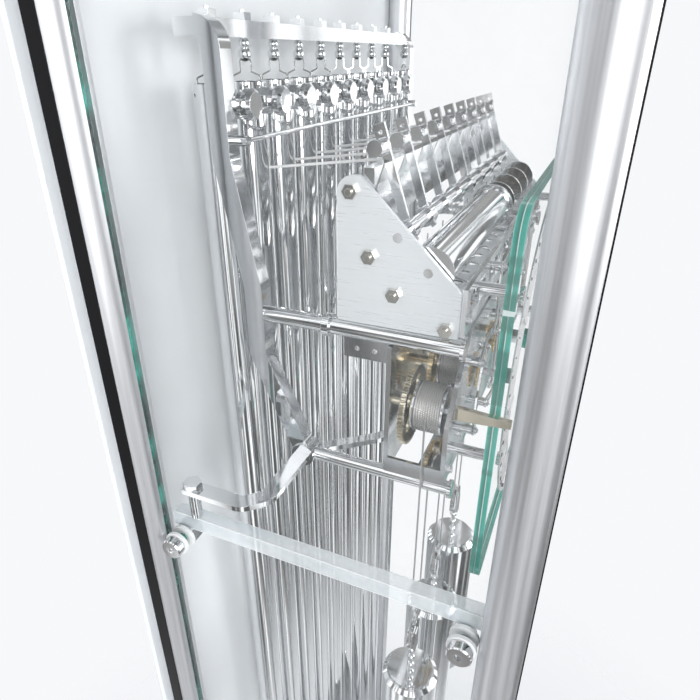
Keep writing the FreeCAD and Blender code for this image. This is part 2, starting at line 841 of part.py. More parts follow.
# Hammers on their shaft
def build_hammers():
    inner = plate_x - plate_thickness / 2
    outer = plate_x + plate_thickness / 2
    shaft = bar(V(-outer, hammer_y, hammer_z), V(outer, hammer_y, hammer_z), hammer_shaft_radius)
    for n in range(bell_count + 1):
        left = -inner if n == 0 else bell_xs[n - 1] + hammer_hub_width / 2
        right = inner if n == bell_count else bell_xs[n] - hammer_hub_width / 2
        spacer = bar(V(left + hammer_spacer_play, hammer_y, hammer_z),
                     V(right - hammer_spacer_play, hammer_y, hammer_z),
                     hammer_spacer_radius)
        shaft = shaft.fuse(spacer)
    add("hammer_shaft", shaft.removeSplitter())

    lean = plane_yz(hammer_lean_y, hammer_lean_z)
    reach = lean.Length
    up = lean.normalize()
    side = X.cross(up)
    to_drum = plane_yz(drum_y - hammer_y, drum_z - hammer_z).normalize()
    tail_side = X.cross(to_drum)
    pivot = plane_yz(hammer_y, hammer_z)

    def strip(begin, finish, direction, across, width):
        points = [pivot + direction * t + across * s for t, s in
                  ((begin, -width / 2), (finish, -width / 2), (finish, width / 2), (begin, width / 2))]
        face = Part.Face(Part.makePolygon(points + points[:1]))
        face.translate(-X * (hammer_arm_thickness / 2))
        return face.extrude(X * hammer_arm_thickness)

    hub = bar(pivot - X * (hammer_hub_width / 2), pivot + X * (hammer_hub_width / 2), hammer_hub_radius)
    arm = strip(0, reach, up, side, hammer_arm_width)
    tab = strip(reach - hammer_tab_length, reach, up, side, hammer_tab_width)
    tail = strip(0, hammer_tail, to_drum, tail_side, hammer_tail_width)
    bore = bar(pivot - X * hammer_hub_width, pivot + X * hammer_hub_width,
               hammer_shaft_radius + running_play)
    eye_at = pivot + up * (reach - hammer_tab_length / 2)
    eye = bar(eye_at - X * hammer_hub_width, eye_at + X * hammer_hub_width, hammer_tab_hole)
    lever = hub.fuse([arm, tab, tail]).removeSplitter().cut([bore, eye])
    at = pivot + up * hammer_head_reach - side * hammer_head_offset
    near = X * (-hammer_arm_thickness / 2)
    head = bar(at + near - X * hammer_head_length, at + near, hammer_head_radius)
    head = head.makeChamfer(hammer_head_radius / 10,
                            [e for e in head.Edges if e.Length > hammer_head_length * 3])
    buffer = bar(at - near, at - near + X * hammer_buffer_length, hammer_buffer_radius)
    for k, x in enumerate(bell_xs):
        for solid in (lever, head, buffer):
            piece = solid.copy()
            piece.translate(X * x)
            add("hammer_%d" % (k + 1), piece)


# Music drum: a smooth shell with lifting pins on the left, cams for the right-hand hammers
def build_drum():
    inner = plate_x - plate_thickness / 2
    outer = plate_x + plate_thickness / 2
    axis = V(0, drum_y, drum_z)
    left = -inner + drum_end_play
    shell = bar(axis + X * left, axis + X * drum_right_end, drum_radius)
    shell = shell.cut(bar(axis + X * (left + drum_wall), axis + X * (drum_right_end - drum_wall),
                          drum_radius - drum_wall))
    shaft = bar(axis - X * outer, axis + X * outer, drum_shaft_radius)
    solid = shell.fuse(shaft)
    for k, x in enumerate(bell_xs):
        if x < drum_right_end:
            for n in range(drum_pins_each):
                angle = math.radians(360 * n / drum_pins_each + drum_pin_turn * (k + 1))
                out = plane_yz(math.cos(angle), math.sin(angle))
                start = axis + X * x + out * (drum_radius - drum_wall / 2)
                solid = solid.fuse(bar(start, start + out * (drum_wall / 2 + drum_pin_height),
                                       drum_pin_radius))
        else:
            points = []
            for n in range(cam_lobes * 4):
                angle = 2 * math.pi * n / (cam_lobes * 4) + math.radians(drum_pin_turn * k)
                radius = cam_radius + (cam_lobe if n % 4 == 0 else 0)
                points.append((radius * math.cos(angle), radius * math.sin(angle)))
            cam = prism(points, plane_yz, axis + X * (x - cam_thickness / 2), X * cam_thickness)
            solid = solid.fuse(cam)
    add("music_drum", solid.removeSplitter())


# Struts between the uprights and the cage, junction hubs and collars
def build_struts():
    rear_y = upright_low_y - upright_width / 2
    for sx in (-1, 1):
        x = sx * upright_x
        upper = bar(V(x, strut_front_y, upper_strut_z), V(x, rear_y, upper_strut_z), upper_strut_radius)
        collar_y = plate_rear_y + collar_ring_width
        collar = bar(V(x, collar_y, upper_strut_z), V(x, collar_y + collar_ring_width, upper_strut_z),
                     collar_ring_radius)
        front = bar(V(x, strut_front_y, upper_strut_z),
                    V(x, strut_front_y + collar_ring_width / 2, upper_strut_z),
                    collar_ring_radius)
        add("cradle_struts", upper.fuse([collar, front]).removeSplitter())
        hub = bar(V(x - junction_width / 2, junction_y, lower_strut_z),
                  V(x + junction_width / 2, junction_y, lower_strut_z),
                  junction_radius)
        lower = bar(V(x, strut_front_y, lower_strut_z), V(x, junction_y, lower_strut_z), lower_strut_radius)
        foot = bar(V(x, strut_front_y, lower_strut_z),
                   V(x, strut_front_y + collar_ring_width / 2, lower_strut_z),
                   lower_strut_radius + collar_ring_width / 3)
        add("cradle_struts", hub.fuse([lower, foot]).removeSplitter())


# Lower cage: front and back train plates, side rails, front rail
def window_plate(half, low, high, y, windows):
    plate = block(V(-half, y - cage_plate / 2, low), V(half, y + cage_plate / 2, high))
    cutters = [block(V(a, y - overrun, c), V(b, y + overrun, d)) for a, b, c, d in windows]
    return plate.cut(cutters) if cutters else plate


def build_cage():
    edge = cage_window_edge
    step = barrel_pitch / 2
    first = barrel_xs[-1] + great_radius + edge
    windows = [(first + step + edge, cage_half_width - edge * 2, cage_bottom + edge, cage_top - edge)]
    third = third_place()
    back_holes = []
    front_holes = []
    for place, radius in ((V(0, 0, centre_z), train_arbor), (third, train_arbor),
                          (escape_place(), train_arbor),
                          (V(0, 0, anchor_z), train_arbor)):
        for holes, y in ((front_holes, cage_front_y), (back_holes, cage_back_y)):
            at = V(place.x, y, place.z)
            holes.append(bar(at - Y * overrun, at + Y * overrun, radius + running_play))
    for x in barrel_xs:
        for holes, y in ((front_holes, cage_front_y), (back_holes, cage_back_y)):
            at = V(x, y, barrel_z)
            holes.append(bar(at - Y * overrun, at + Y * overrun, barrel_arbor + running_play))
    front = window_plate(cage_half_width, cage_bottom, cage_top, cage_front_y, windows).cut(front_holes)
    corner = barrel_z - (barrel_xs[0] + cage_half_width) + shoulder_rise
    rise = cage_top + overrun - corner
    outline = ((-cage_half_width, corner), (-cage_half_width + rise, cage_top + overrun),
               (-cage_half_width - overrun, cage_top + overrun), (-cage_half_width - overrun, corner))
    front = front.cut(prism(outline, plane_xz, V(0, cage_front_y - cage_plate, 0), Y * (cage_plate * 2)))
    back = window_plate(cage_half_width, cage_bottom, cage_top, cage_back_y, windows).cut(back_holes)
    stud_place = motion_place()
    stud_end = hour_wheel_y - stud_head_play
    stud = bar(stud_place + Y * (cage_front_y - cage_plate / 2), stud_place + Y * stud_end, train_arbor)
    head = bar(stud_place + Y * stud_end, stud_place + Y * (stud_end - stud_head_height), stud_head_radius)
    add("train_plates", front, back, stud.fuse(head).removeSplitter())

    inner = plate_x - plate_thickness / 2 - front_rail_inset
    rail_windows = []
    pitch = (inner * 2 - edge) / (barrel_count * 2)
    for n in range(barrel_count * 2):
        left = -inner + edge + pitch * n
        rail_windows.append((left, left + pitch - edge, plate_bottom + edge, front_rail_top - edge / 2))
    add("train_plates", window_plate(inner, plate_bottom, front_rail_top, plate_front_y - cage_plate / 2,
                                     rail_windows))

    for sx in (-1, 1):
        x = sx * plate_x
        sill_x = sx * (cage_half_width - sill_thickness)
        add("train_plates", slab(V(sill_x, cage_front, 0), V(sx * cage_half_width, cage_rear, 0),
                                 cage_bottom,
                                 cage_bottom + sill_height))
        spans = [(cage_back_y + cage_plate / 2, rail_rear_y)]
        if sx > 0:
            spans.append((cage_front, cage_rear))
        for y0, y1 in spans:
            rail = block(V(x - rail_thickness / 2, y0, cage_top - rail_height),
                         V(x + rail_thickness / 2, y1, cage_top))
            middle = cage_top - rail_height / 2
            holes = []
            for share in rail_hole_shares:
                y = y0 + (y1 - y0) * share
                holes.append(bar(V(x - rail_thickness, y, middle), V(x + rail_thickness, y, middle),
                                 rail_hole_radius))
            add("train_plates", rail.cut(holes))


# Braces from the junction hubs to the glass crossbars, and the tie behind the cage
def build_braces():
    start_z = Z * (lower_strut_z - brace_thickness / 2)
    path = ((brace_wall_x, brace_rear_y), (brace_wall_x, brace_turn_y),
            (brace_wall_x - brace_turn_y + junction_y, junction_y),
            (upright_x, junction_y))
    brace = band(path, brace_width, (0, brace_bend, brace_bend, 0), plane_xy, start_z, Z * brace_thickness)
    hub = bar(V(upright_x - junction_width / 2, junction_y, lower_strut_z),
              V(upright_x + junction_width / 2, junction_y, lower_strut_z), junction_radius + seat_play)
    inside = block(V(0, -case_depth, 0), V(upright_x, case_depth, case_height))
    brace = brace.cut([hub, inside])
    add("brace_bars", brace, mirrored(brace))
    tie = band(((-upright_x, junction_y), (-tie_knee_x, tie_y), (tie_knee_x, tie_y),
                (upright_x, junction_y)), tie_width,
               (0, tie_bend, tie_bend, 0), plane_xy, start_z, Z * brace_thickness)
    strut_play = lower_strut_radius + plate_seat
    for sx in (-1, 1):
        x = sx * upright_x
        hub = bar(V(x - junction_width / 2, junction_y, lower_strut_z),
                  V(x + junction_width / 2, junction_y, lower_strut_z),
                  junction_radius + seat_play)
        strut = bar(V(x, -case_depth, lower_strut_z), V(x, junction_y, lower_strut_z), strut_play)
        tie = tie.cut([hub, strut])
        tie = max(tie.Solids, key=lambda s: s.Volume)
    add("brace_bars", tie)

    for sx in (-1, 1):
        x = sx * crossbar_x
        half = crossbar_width / 2
        add("glass_crossbars", block(V(x - half, crossbar_front_y, crossbar_bottom),
                                     V(x + half, crossbar_rear_y, crossbar_top)))
        foot = V(sx * brace_wall_x, brace_rear_y - brace_width / 2, crossbar_top)
        rise = Z * (lower_strut_z - brace_thickness / 2 - crossbar_top)
        head = foot + rise + Z * brace_thickness
        add("crossbar_clamps", bar(foot, foot + rise, standoff_radius))
        add("crossbar_clamps", hexagon(head, X, Y,
                                       standoff_head_radius * 2).extrude(Z * standoff_head_height))
        for y in (clamp_front_y, clamp_rear_y):
            add("crossbar_clamps", *glass_clamp(V(x, y, clamp_z), X * sx))


def glass_clamp(centre, out):
    """Block under a crossbar, bolted through the side glass with a white washer on each face."""
    half = clamp_size / 2
    corner = V(half, half, half)
    pane_in = abs(post_x - side_glass_thickness / 2 - abs(centre.x))
    pane_out = pane_in + side_glass_thickness
    cap_start = pane_out + clamp_outer_washer
    box = block(centre - corner, centre + corner)
    box = box.makeChamfer(clamp_chamfer, box.Edges)
    bolt = bar(centre + out * half, centre + out * cap_start, clamp_bolt_radius)
    washers = []
    for start, end in ((half, pane_in - clamp_washer_play), (pane_out + clamp_washer_play, cap_start)):
        washers.append(pipe(centre + out * start, centre + out * end, clamp_washer_radius,
                            clamp_bolt_radius + seat_play))
    cap = bar(centre + out * cap_start, centre + out * (cap_start + clamp_cap_length), clamp_cap_radius)
    cap = cap.makeChamfer(clamp_cap_chamfer, [e for e in cap.Edges if e.Length > clamp_cap_length])
    face = centre + out * (cap_start + clamp_cap_length)
    socket = hexagon(face - out * clamp_socket_depth, Y, Z, clamp_socket_across).extrude(out * overrun)
    return [box.fuse(bolt).removeSplitter(), cap.cut(socket)] + washers


def third_place():
    distance = train_module * (centre_teeth + third_pinion_teeth) / 2
    angle = math.radians(third_angle)
    return V(distance * math.cos(angle), 0, centre_z + distance * math.sin(angle))


def escape_place():
    third = third_place()
    distance = train_module * (third_teeth + escape_pinion_teeth) / 2
    return V(0, 0, third.z + math.sqrt(distance ** 2 - third.x ** 2))


def motion_place():
    distance = motion_module * (cannon_teeth + minute_wheel_teeth) / 2
    angle = math.radians(motion_angle)
    return V(distance * math.cos(angle), 0, centre_z + distance * math.sin(angle))


def mesh_phase(driver, driven, driver_phase, driver_teeth, driven_teeth):
    """Phase of the driven wheel so that its gap faces a tooth of the driver."""
    line = math.atan2(driven.z - driver.z, driven.x - driver.x)
    steps = (line - driver_phase) * driver_teeth / (2 * math.pi)
    offset = steps - math.floor(steps)
    driven_step = 2 * math.pi / driven_teeth
    return line + math.pi - driven_step * (1 / 2 - offset)


# Barrels with great wheels, winding arbors and the hand lever
def build_barrels():
    for n, x in enumerate(barrel_xs):
        name = ("chime_barrel", "strike_barrel", "time_barrel")[n]
        axis = V(x, 0, barrel_z)
        length = barrel_back_y - barrel_front_y
        profile = [(0, 0), (barrel_flange, 0), (barrel_flange, barrel_flange_thickness)]
        pitch = (length - barrel_flange_thickness * 2) / barrel_grooves
        for g in range(barrel_grooves):
            start = barrel_flange_thickness + pitch * g
            profile += [(barrel_radius, start), (barrel_radius - barrel_groove, start + pitch / 2)]
        profile += [(barrel_radius, length - barrel_flange_thickness),
                    (barrel_flange, length - barrel_flange_thickness),
                    (barrel_flange, length), (0, length)]
        drum = turned(profile, axis + Y * barrel_front_y, X, Y)
        bore = bar(axis + Y * (barrel_front_y - overrun), axis + Y * (barrel_back_y + overrun),
                   barrel_arbor + seat_play)
        add(name, drum.cut(bore))
        wheel = toothed(great_teeth, gear_module, axis + Y * great_gear_y, gear_thickness, 0,
                        barrel_arbor + seat_play)
        add(name, wheel)
        rear_end = cage_back_y + cage_plate / 2
        arbor = bar(axis + Y * (cage_front_y - cage_plate / 2), axis + Y * rear_end, barrel_arbor)
        front = axis + Y * (cage_front_y - cage_plate / 2)
        if n == 0:
            points = [(lever_root_radius, front.y), (lever_tip_radius, lever_tip_y),
                      (-lever_tip_radius, lever_tip_y),
                      (-lever_root_radius, front.y)]
            lever = prism([(a, b) for a, b in points], lambda a, b: V(0, b, a),
                          V(x - lever_thickness / 2, 0, barrel_z),
                          X * lever_thickness)
            arbor = arbor.fuse(lever)
        else:
            half = arbor_square / 2
            square = block(V(x - half, arbor_square_tip_y, barrel_z - half),
                           V(x + half, front.y, barrel_z + half))
            arbor = arbor.fuse(square)
        add(name, arbor.removeSplitter())


# Wheels of the going train, with arbors along Y
def build_train():
    time_axis = V(barrel_xs[-1], 0, barrel_z)
    centre = V(0, 0, centre_z)
    third = third_place()
    escape = escape_place()
    front = cage_front_y - cage_plate / 2
    rear = cage_back_y + cage_plate / 2

    pinion_phase = mesh_phase(time_axis, centre, 0, great_teeth, pinion_teeth)
    pinion = toothed(pinion_teeth, gear_module, centre + Y * great_gear_y, gear_thickness, pinion_phase,
                     train_arbor)
    wheel = toothed(centre_teeth, train_module, centre + Y * centre_wheel_y, thin_wheel, 0, train_arbor)
    arbor = bar(centre + Y * (dial_y - hand_gap * 2), centre + Y * rear, train_arbor)
    add("centre_wheel", arbor, pinion, wheel)

    phase = mesh_phase(centre, third, 0, centre_teeth, third_pinion_teeth)
    pinion = toothed(third_pinion_teeth, train_module, third + Y * centre_wheel_y, thin_wheel, phase,
                     train_arbor)
    wheel = toothed(third_teeth, train_module, third + Y * third_wheel_y, thin_wheel, 0, train_arbor)
    add("third_wheel", bar(third + Y * front, third + Y * rear, train_arbor), pinion, wheel)

    phase = mesh_phase(third, escape, 0, third_teeth, escape_pinion_teeth)
    pinion = toothed(escape_pinion_teeth, train_module, escape + Y * third_wheel_y, thin_wheel, phase,
                     train_arbor)
    outline = []
    for n in range(escape_teeth):
        angle = 2 * math.pi * n / escape_teeth
        step = math.pi / escape_teeth
        outline.append((escape_radius * math.cos(angle), escape_radius * math.sin(angle)))
        inner = escape_radius - escape_tooth
        outline.append((inner * math.cos(angle + step / 2), inner * math.sin(angle + step / 2)))
        outline.append((inner * math.cos(angle + step * 1.5), inner * math.sin(angle + step * 1.5)))
    wheel = prism(outline, plane_xz, escape + Y * escape_wheel_y, Y * thin_wheel)
    wheel = wheel.cut(bar(escape + Y * front, escape + Y * rear, train_arbor))
    add("escape_wheel", bar(escape + Y * front, escape + Y * rear, train_arbor), pinion, wheel)

    top = V(0, escape_wheel_y, anchor_z)
    arms = []
    for sx in (-1, 1):
        path = ((0, 0), (sx * anchor_span, -anchor_fall), (sx * pallet_span, -pallet_drop))
        arms.append(band(path, anchor_width, (0, anchor_bend, 0), plane_xz, top, Y * anchor_thickness))
    hub = bar(top, top + Y * anchor_thickness, anchor_hub_radius)
    arbor = bar(V(0, front, anchor_z), V(0, crutch_y + crutch_thickness, anchor_z), train_arbor)
    anchor = hub.fuse(arms + [arbor])
    crutch = block(V(-crutch_width / 2, crutch_y, anchor_z - crutch_drop),
                   V(crutch_width / 2, crutch_y + crutch_thickness, anchor_z + crutch_width / 2))
    gap = pendulum_rod_radius + crutch_fork_gap
    fork = []
    for sx in (-1, 1):
        low = min(sx * gap, sx * (gap + crutch_thickness))
        fork.append(block(V(low, crutch_y, anchor_z - crutch_drop),
                          V(low + crutch_thickness, pendulum_y + gap,
                            anchor_z - crutch_drop + crutch_width)))
    link = block(V(-gap - crutch_thickness, crutch_y, anchor_z - crutch_drop),
                 V(gap + crutch_thickness, crutch_y + crutch_thickness,
                   anchor_z - crutch_drop + crutch_width))
    add("anchor", anchor.fuse([crutch, link] + fork).removeSplitter())


# Pendulum, its suspension spring and the cock that carries it
def build_pendulum():
    bob_z = anchor_z - pendulum_length
    rod_top = anchor_z - spring_below
    rod_bottom = bob_z - bob_radius - rating_nut_height - rod_tail
    rod = bar(V(0, pendulum_y, rod_bottom), V(0, pendulum_y, rod_top), pendulum_rod_radius)
    bore = bar(V(0, pendulum_y, rod_bottom - overrun), V(0, pendulum_y, rod_top),
               pendulum_rod_radius + seat_play)
    add("pendulum", rod)
    spring = block(V(-spring_width / 2, pendulum_y - spring_thickness / 2, rod_top),
                   V(spring_width / 2, pendulum_y + spring_thickness / 2, anchor_z + spring_above))
    add("pendulum", spring)
    centre = V(0, pendulum_y, bob_z)
    edge = V(bob_radius, 0, 0)
    front_arc = Part.Arc(centre + edge - Y * bob_rim,
                         centre + edge / 2 - Y * (bob_half_thickness * bob_mid_share),
                         centre - Y * bob_half_thickness).toShape()
    rear_arc = Part.Arc(centre + Y * bob_half_thickness,
                        centre + edge / 2 + Y * (bob_half_thickness * bob_mid_share),
                        centre + edge + Y * bob_rim).toShape()
    rim = Part.LineSegment(centre + edge + Y * bob_rim, centre + edge - Y * bob_rim).toShape()
    core = Part.LineSegment(centre - Y * bob_half_thickness, centre + Y * bob_half_thickness).toShape()
    half_section = Part.Face(Part.Wire(Part.__sortEdges__([front_arc, rear_arc, rim, core])))
    bob = half_section.revolve(centre, Y, 360)
    add("pendulum", bob.cut(bore))
    nut_top = bob_z - bob_radius
    nut = bar(V(0, pendulum_y, nut_top - rating_nut_height), V(0, pendulum_y, nut_top), rating_nut_radius)
    add("pendulum", nut.cut(bore))

    slot_x = spring_width / 2 + cock_slot_play
    slot_y = spring_thickness / 2 + cock_slot_play
    low_z = anchor_z + cock_gap
    arm = block(V(-cock_width / 2, cage_back_y + cage_plate / 2, low_z),
                V(cock_width / 2, pendulum_y + cock_depth / 2, low_z + cock_height))
    slot = block(V(-slot_x, pendulum_y - slot_y, low_z - overrun),
                 V(slot_x, pendulum_y + slot_y, low_z + cock_height + overrun))
    clearance = bar(V(0, cage_back_y, anchor_z), V(0, crutch_y + crutch_thickness + overrun, anchor_z),
                    train_arbor + cock_slot_play)
    swing = block(V(-crutch_width, crutch_y - cock_slot_play, low_z - overrun),
                  V(crutch_width, crutch_y + crutch_thickness + cock_slot_play, low_z + cock_height / 2))
    add("train_plates", arm.cut([slot, clearance, swing]))


# Weights with their sheaves, and the cables
def build_weights():
    mid_y = (barrel_front_y + barrel_back_y) / 2
    rail_z = lower_strut_z - cable_rail_thickness / 2
    inner = upright_x - lower_strut_radius - cable_rail_play
    rail = block(V(-inner, mid_y - cable_rail_width / 2, rail_z), V(inner, mid_y + cable_rail_width / 2,
                                                                  rail_z + cable_rail_thickness))
    holes = []
    for n, x in enumerate(barrel_xs):
        name = ("chime", "strike", "time")[n]
        fall_x = x - barrel_radius - cable_radius - cable_play
        sheave_x = fall_x + sheave_radius
        second_x = sheave_x + sheave_radius
        top = weight_tops[n]
        centre = V(sheave_x, mid_y, top + sheave_rise)
        post_top = rail_z
        post_low = rail_z - cable_post_height

        if fall_x > -inner:
            holes.append(bar(V(fall_x, mid_y, rail_z - overrun),
                             V(fall_x, mid_y, rail_z + cable_rail_thickness + overrun),
                             cable_hole_radius))
        add("cable_rail", bar(V(second_x, mid_y, post_low), V(second_x, mid_y, post_top), cable_post_radius))
        add("cable_leads", bar(V(fall_x, mid_y, post_low), V(fall_x, mid_y, barrel_z), cable_radius))
        for fx in (fall_x, second_x):
            add(name + "_cable", bar(V(fx, mid_y, centre.z), V(fx, mid_y, post_low), cable_radius))

        chamfer = weight_chamfer
        profile = ((0, 0), (weight_radius - chamfer, 0), (weight_radius, chamfer),
                   (weight_radius, weight_length - chamfer),
                   (weight_radius - chamfer, weight_length), (0, weight_length))
        add(name + "_weight", turned(profile, V(sheave_x, mid_y, top - weight_length), X, Z))
        cap = bar(V(sheave_x, mid_y, top), V(sheave_x, mid_y, top + weight_cap_height), weight_cap_radius)
        fork_base = centre.z - fork_crown
        stem = bar(V(sheave_x, mid_y, top + weight_cap_height), V(sheave_x, mid_y, fork_base), stem_radius)
        solids = [stem]
        for b in range(bead_count):
            z = top + weight_cap_height + (fork_base - top - weight_cap_height) * (b + 1 / 2) / bead_count
            solids.append(Part.makeSphere(bead_radius, V(sheave_x, mid_y, z)))
        half = sheave_width / 2 + fork_play
        crown = block(V(sheave_x - fork_width / 2, mid_y - half - fork_thickness, fork_base),
                      V(sheave_x + fork_width / 2, mid_y + half + fork_thickness,
                        fork_base + fork_thickness))
        solids.append(crown)
        for y0 in (mid_y - half - fork_thickness, mid_y + half):
            solids.append(block(V(sheave_x - fork_width / 2, y0, fork_base),
                                V(sheave_x + fork_width / 2, y0 + fork_thickness,
                                  centre.z + fork_width / 2)))
        solids.append(bar(centre - Y * (half + fork_thickness), centre + Y * (half + fork_thickness),
                          sheave_axle))
        add(name + "_weight", cap.fuse(solids).removeSplitter())
        groove = sheave_radius - cable_radius - running_play
        rim = sheave_radius + sheave_rim
        floor_low = sheave_width / 2 - cable_radius - running_play
        floor_high = sheave_width / 2 + cable_radius + running_play
        profile = ((sheave_axle, 0), (rim, 0), (groove, floor_low), (groove, floor_high),
                   (rim, sheave_width),
                   (sheave_axle, sheave_width))
        add(name + "_weight", turned(profile, centre - Y * (sheave_width / 2), X, Y))
    add("cable_rail", rail.cut(holes))


# Glass dial, chapter ring, posts and hands
def build_dial():
    dial = block(V(-dial_half_width, dial_y, dial_bottom),
                 V(dial_half_width, dial_y + dial_thickness, dial_top))
    corners = [e for e in dial.Edges if e.Length < dial_thickness * 1.5]
    dial = dial.makeFillet(dial_corner, corners)
    centre = V(0, dial_y, centre_z)
    holes = [bar(centre - Y * overrun, centre + Y * (dial_thickness + overrun), dial_hole_radius)]
    for x in barrel_xs[1:]:
        at = V(x, dial_y, barrel_z)
        holes.append(bar(at - Y * overrun, at + Y * (dial_thickness + overrun), wind_hole_radius))
    add("dial_glass", dial.cut(holes))
    ring = pipe(centre - Y * ring_thickness, centre, ring_outer, ring_inner)
    add("chapter_ring", ring)
    middle = (ring_outer + ring_inner) / 2
    for n in range(marker_count):
        marker = block(V(-marker_width / 2, dial_y - ring_thickness * 2,
                         centre_z + middle - marker_length / 2),
                       V(marker_width / 2, dial_y - ring_thickness, centre_z + middle + marker_length / 2))
        marker.rotate(centre, Y, 360 * n / marker_count)
        add("chapter_ring", marker)
    for sx in (-1, 1):
        for z in (dial_post_upper_z, dial_post_lower_z):
            back = cage_front_y - cage_plate / 2
            if z > cage_top:
                back = plate_front_y - cage_plate
            add("dial_posts", bar(V(sx * dial_post_x, dial_y + dial_thickness, z),
                                  V(sx * dial_post_x, back, z),
                                  dial_post_radius))
            at = V(sx * dial_post_x, dial_y, z)
            add("dial_posts", bar(at - Y * dial_screw_height, at, dial_screw_radius))

    def hand(length, front, outer, inner, pipe_back):
        outline = ((-hand_root_width / 2, 0), (-hand_tip_width, -hand_tail), (hand_tip_width, -hand_tail),
                   (hand_root_width / 2, 0), (hand_tip_width / 2, length), (-hand_tip_width / 2, length))
        blade = prism(outline, plane_xz, V(0, front, centre_z), Y * hand_thickness)
        tube = bar(V(0, front, centre_z), V(0, pipe_back, centre_z), outer)
        bore = bar(V(0, front - overrun, centre_z), V(0, pipe_back + overrun, centre_z), inner)
        return blade.fuse(tube).removeSplitter().cut(bore)

    hour_front = dial_y - ring_thickness * 2 - hand_gap - hand_thickness
    minute_front = hour_front - hand_gap - hand_thickness
    hour = hand(hour_length, hour_front, hour_pipe_radius, minute_pipe_radius + running_play,
                hour_wheel_y + motion_thickness)
    hour.rotate(V(0, 0, centre_z), Y, hour_angle)
    minute = hand(minute_length, minute_front, minute_pipe_radius, train_arbor + running_play,
                  cannon_y + motion_thickness)
    minute.rotate(V(0, 0, centre_z), Y, minute_angle)
    middle = V(0, 0, centre_z)
    stud = motion_place()
    hour_module = motion_module * (cannon_teeth + minute_wheel_teeth) / (minute_pinion_teeth
                                                                         + hour_wheel_teeth)
    cannon = toothed(cannon_teeth, motion_module, middle + Y * cannon_y, motion_thickness, 0,
                     minute_pipe_radius + seat_play)
    phase = mesh_phase(middle, stud, 0, cannon_teeth, minute_wheel_teeth)
    wheel = toothed(minute_wheel_teeth, motion_module, stud + Y * cannon_y, motion_thickness, phase,
                    train_arbor + running_play)
    pinion = toothed(minute_pinion_teeth, hour_module, stud + Y * hour_wheel_y, cannon_y - hour_wheel_y, 0,
                     train_arbor + running_play)
    add("minute_wheel", wheel.fuse(pinion).removeSplitter())
    phase = mesh_phase(stud, middle, 0, minute_pinion_teeth, hour_wheel_teeth)
    add("hour_hand", hour, toothed(hour_wheel_teeth, hour_module, middle + Y * hour_wheel_y,
                                   motion_thickness, phase,
                                   hour_pipe_radius + seat_play))
    nut = bar(V(0, minute_front - hand_nut_height, centre_z), V(0, minute_front, centre_z), hand_nut_radius)
    add("minute_hand", minute, nut, cannon)


def write_parts():
    for name, solids in nodes.items():
        shape = Part.makeCompound(solids) if len(solids) > 1 else solids[0]
        shape.exportStep("parts/%s.step" % name)


build_case()
build_door()
build_rack()
build_bells()
build_upper_frame()
build_hammers()
build_drum()
build_struts()
build_cage()
build_braces()
build_barrels()
build_train()
build_pendulum()
build_weights()
build_dial()
write_parts()
print(len(nodes), "nodes")
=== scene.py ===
import math

import bpy
from mathutils import Matrix, Vector


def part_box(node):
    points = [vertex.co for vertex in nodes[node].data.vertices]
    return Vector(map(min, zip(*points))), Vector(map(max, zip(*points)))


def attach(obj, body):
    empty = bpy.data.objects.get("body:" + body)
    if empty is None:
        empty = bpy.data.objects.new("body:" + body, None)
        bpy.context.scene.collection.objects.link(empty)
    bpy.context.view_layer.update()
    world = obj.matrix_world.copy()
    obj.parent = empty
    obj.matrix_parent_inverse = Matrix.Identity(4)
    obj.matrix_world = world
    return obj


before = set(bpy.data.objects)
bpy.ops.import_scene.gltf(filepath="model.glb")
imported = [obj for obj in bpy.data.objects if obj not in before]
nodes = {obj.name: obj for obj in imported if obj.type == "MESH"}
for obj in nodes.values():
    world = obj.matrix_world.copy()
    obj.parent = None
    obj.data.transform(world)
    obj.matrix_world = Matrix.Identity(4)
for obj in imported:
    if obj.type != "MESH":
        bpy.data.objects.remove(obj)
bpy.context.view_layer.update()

# Camera, solved from the photograph's vanishing lines, in metres and degrees
camera_place = Vector((-0.593, -0.164, 1.75))
camera_yaw = 23.354
camera_pitch = 27.087
camera_roll = -0.05
frame_pixels = 700.0
focal_pixels = 578.25
sensor_width = 36.0

# Colours
chrome_colour = (0.86, 0.87, 0.88, 1.0)
steel_colour = (0.72, 0.73, 0.75, 1.0)
gold_colour = (0.8, 0.65, 0.4, 1.0)
pale_gold = (0.76, 0.7, 0.56, 1.0)
bronze_colour = (0.5, 0.45, 0.38, 1.0)
black_trim = (0.008, 0.008, 0.009, 1.0)
glass_clear = (0.93, 0.98, 0.97, 1.0)
teal_dark = (0.002, 0.035, 0.03, 1.0)
teal_deep = (0.004, 0.17, 0.13, 1.0)
teal_mid = (0.03, 0.38, 0.3, 1.0)
teal_light = (0.25, 0.68, 0.59, 1.0)
teal_white = (0.86, 0.98, 0.95, 1.0)

# Places taken from the CAD model, in metres
post_x = 0.308
gasket_floor = 0.01486
front_post_y = -0.157
washer_start = 0.3021
washer_end = 0.31405
drum_shell_end = 0.0172
drum_y = -0.06
drum_z = 1.611
plate_outer_x = 0.2122
barrel_z = 1.492
barrel_xs = (-0.198, -0.1198, -0.0416)
great_wheel_front = -0.0523
plate_face = -0.086
lever_front = -0.0866
apron_face = -0.089
hand_wheel_front = -0.1
hammer_count = 9
hammer_first_x = -0.188
hammer_pitch = 0.047
centre_z = 1.478
ring_face = -0.1225
ring_middle = 0.146

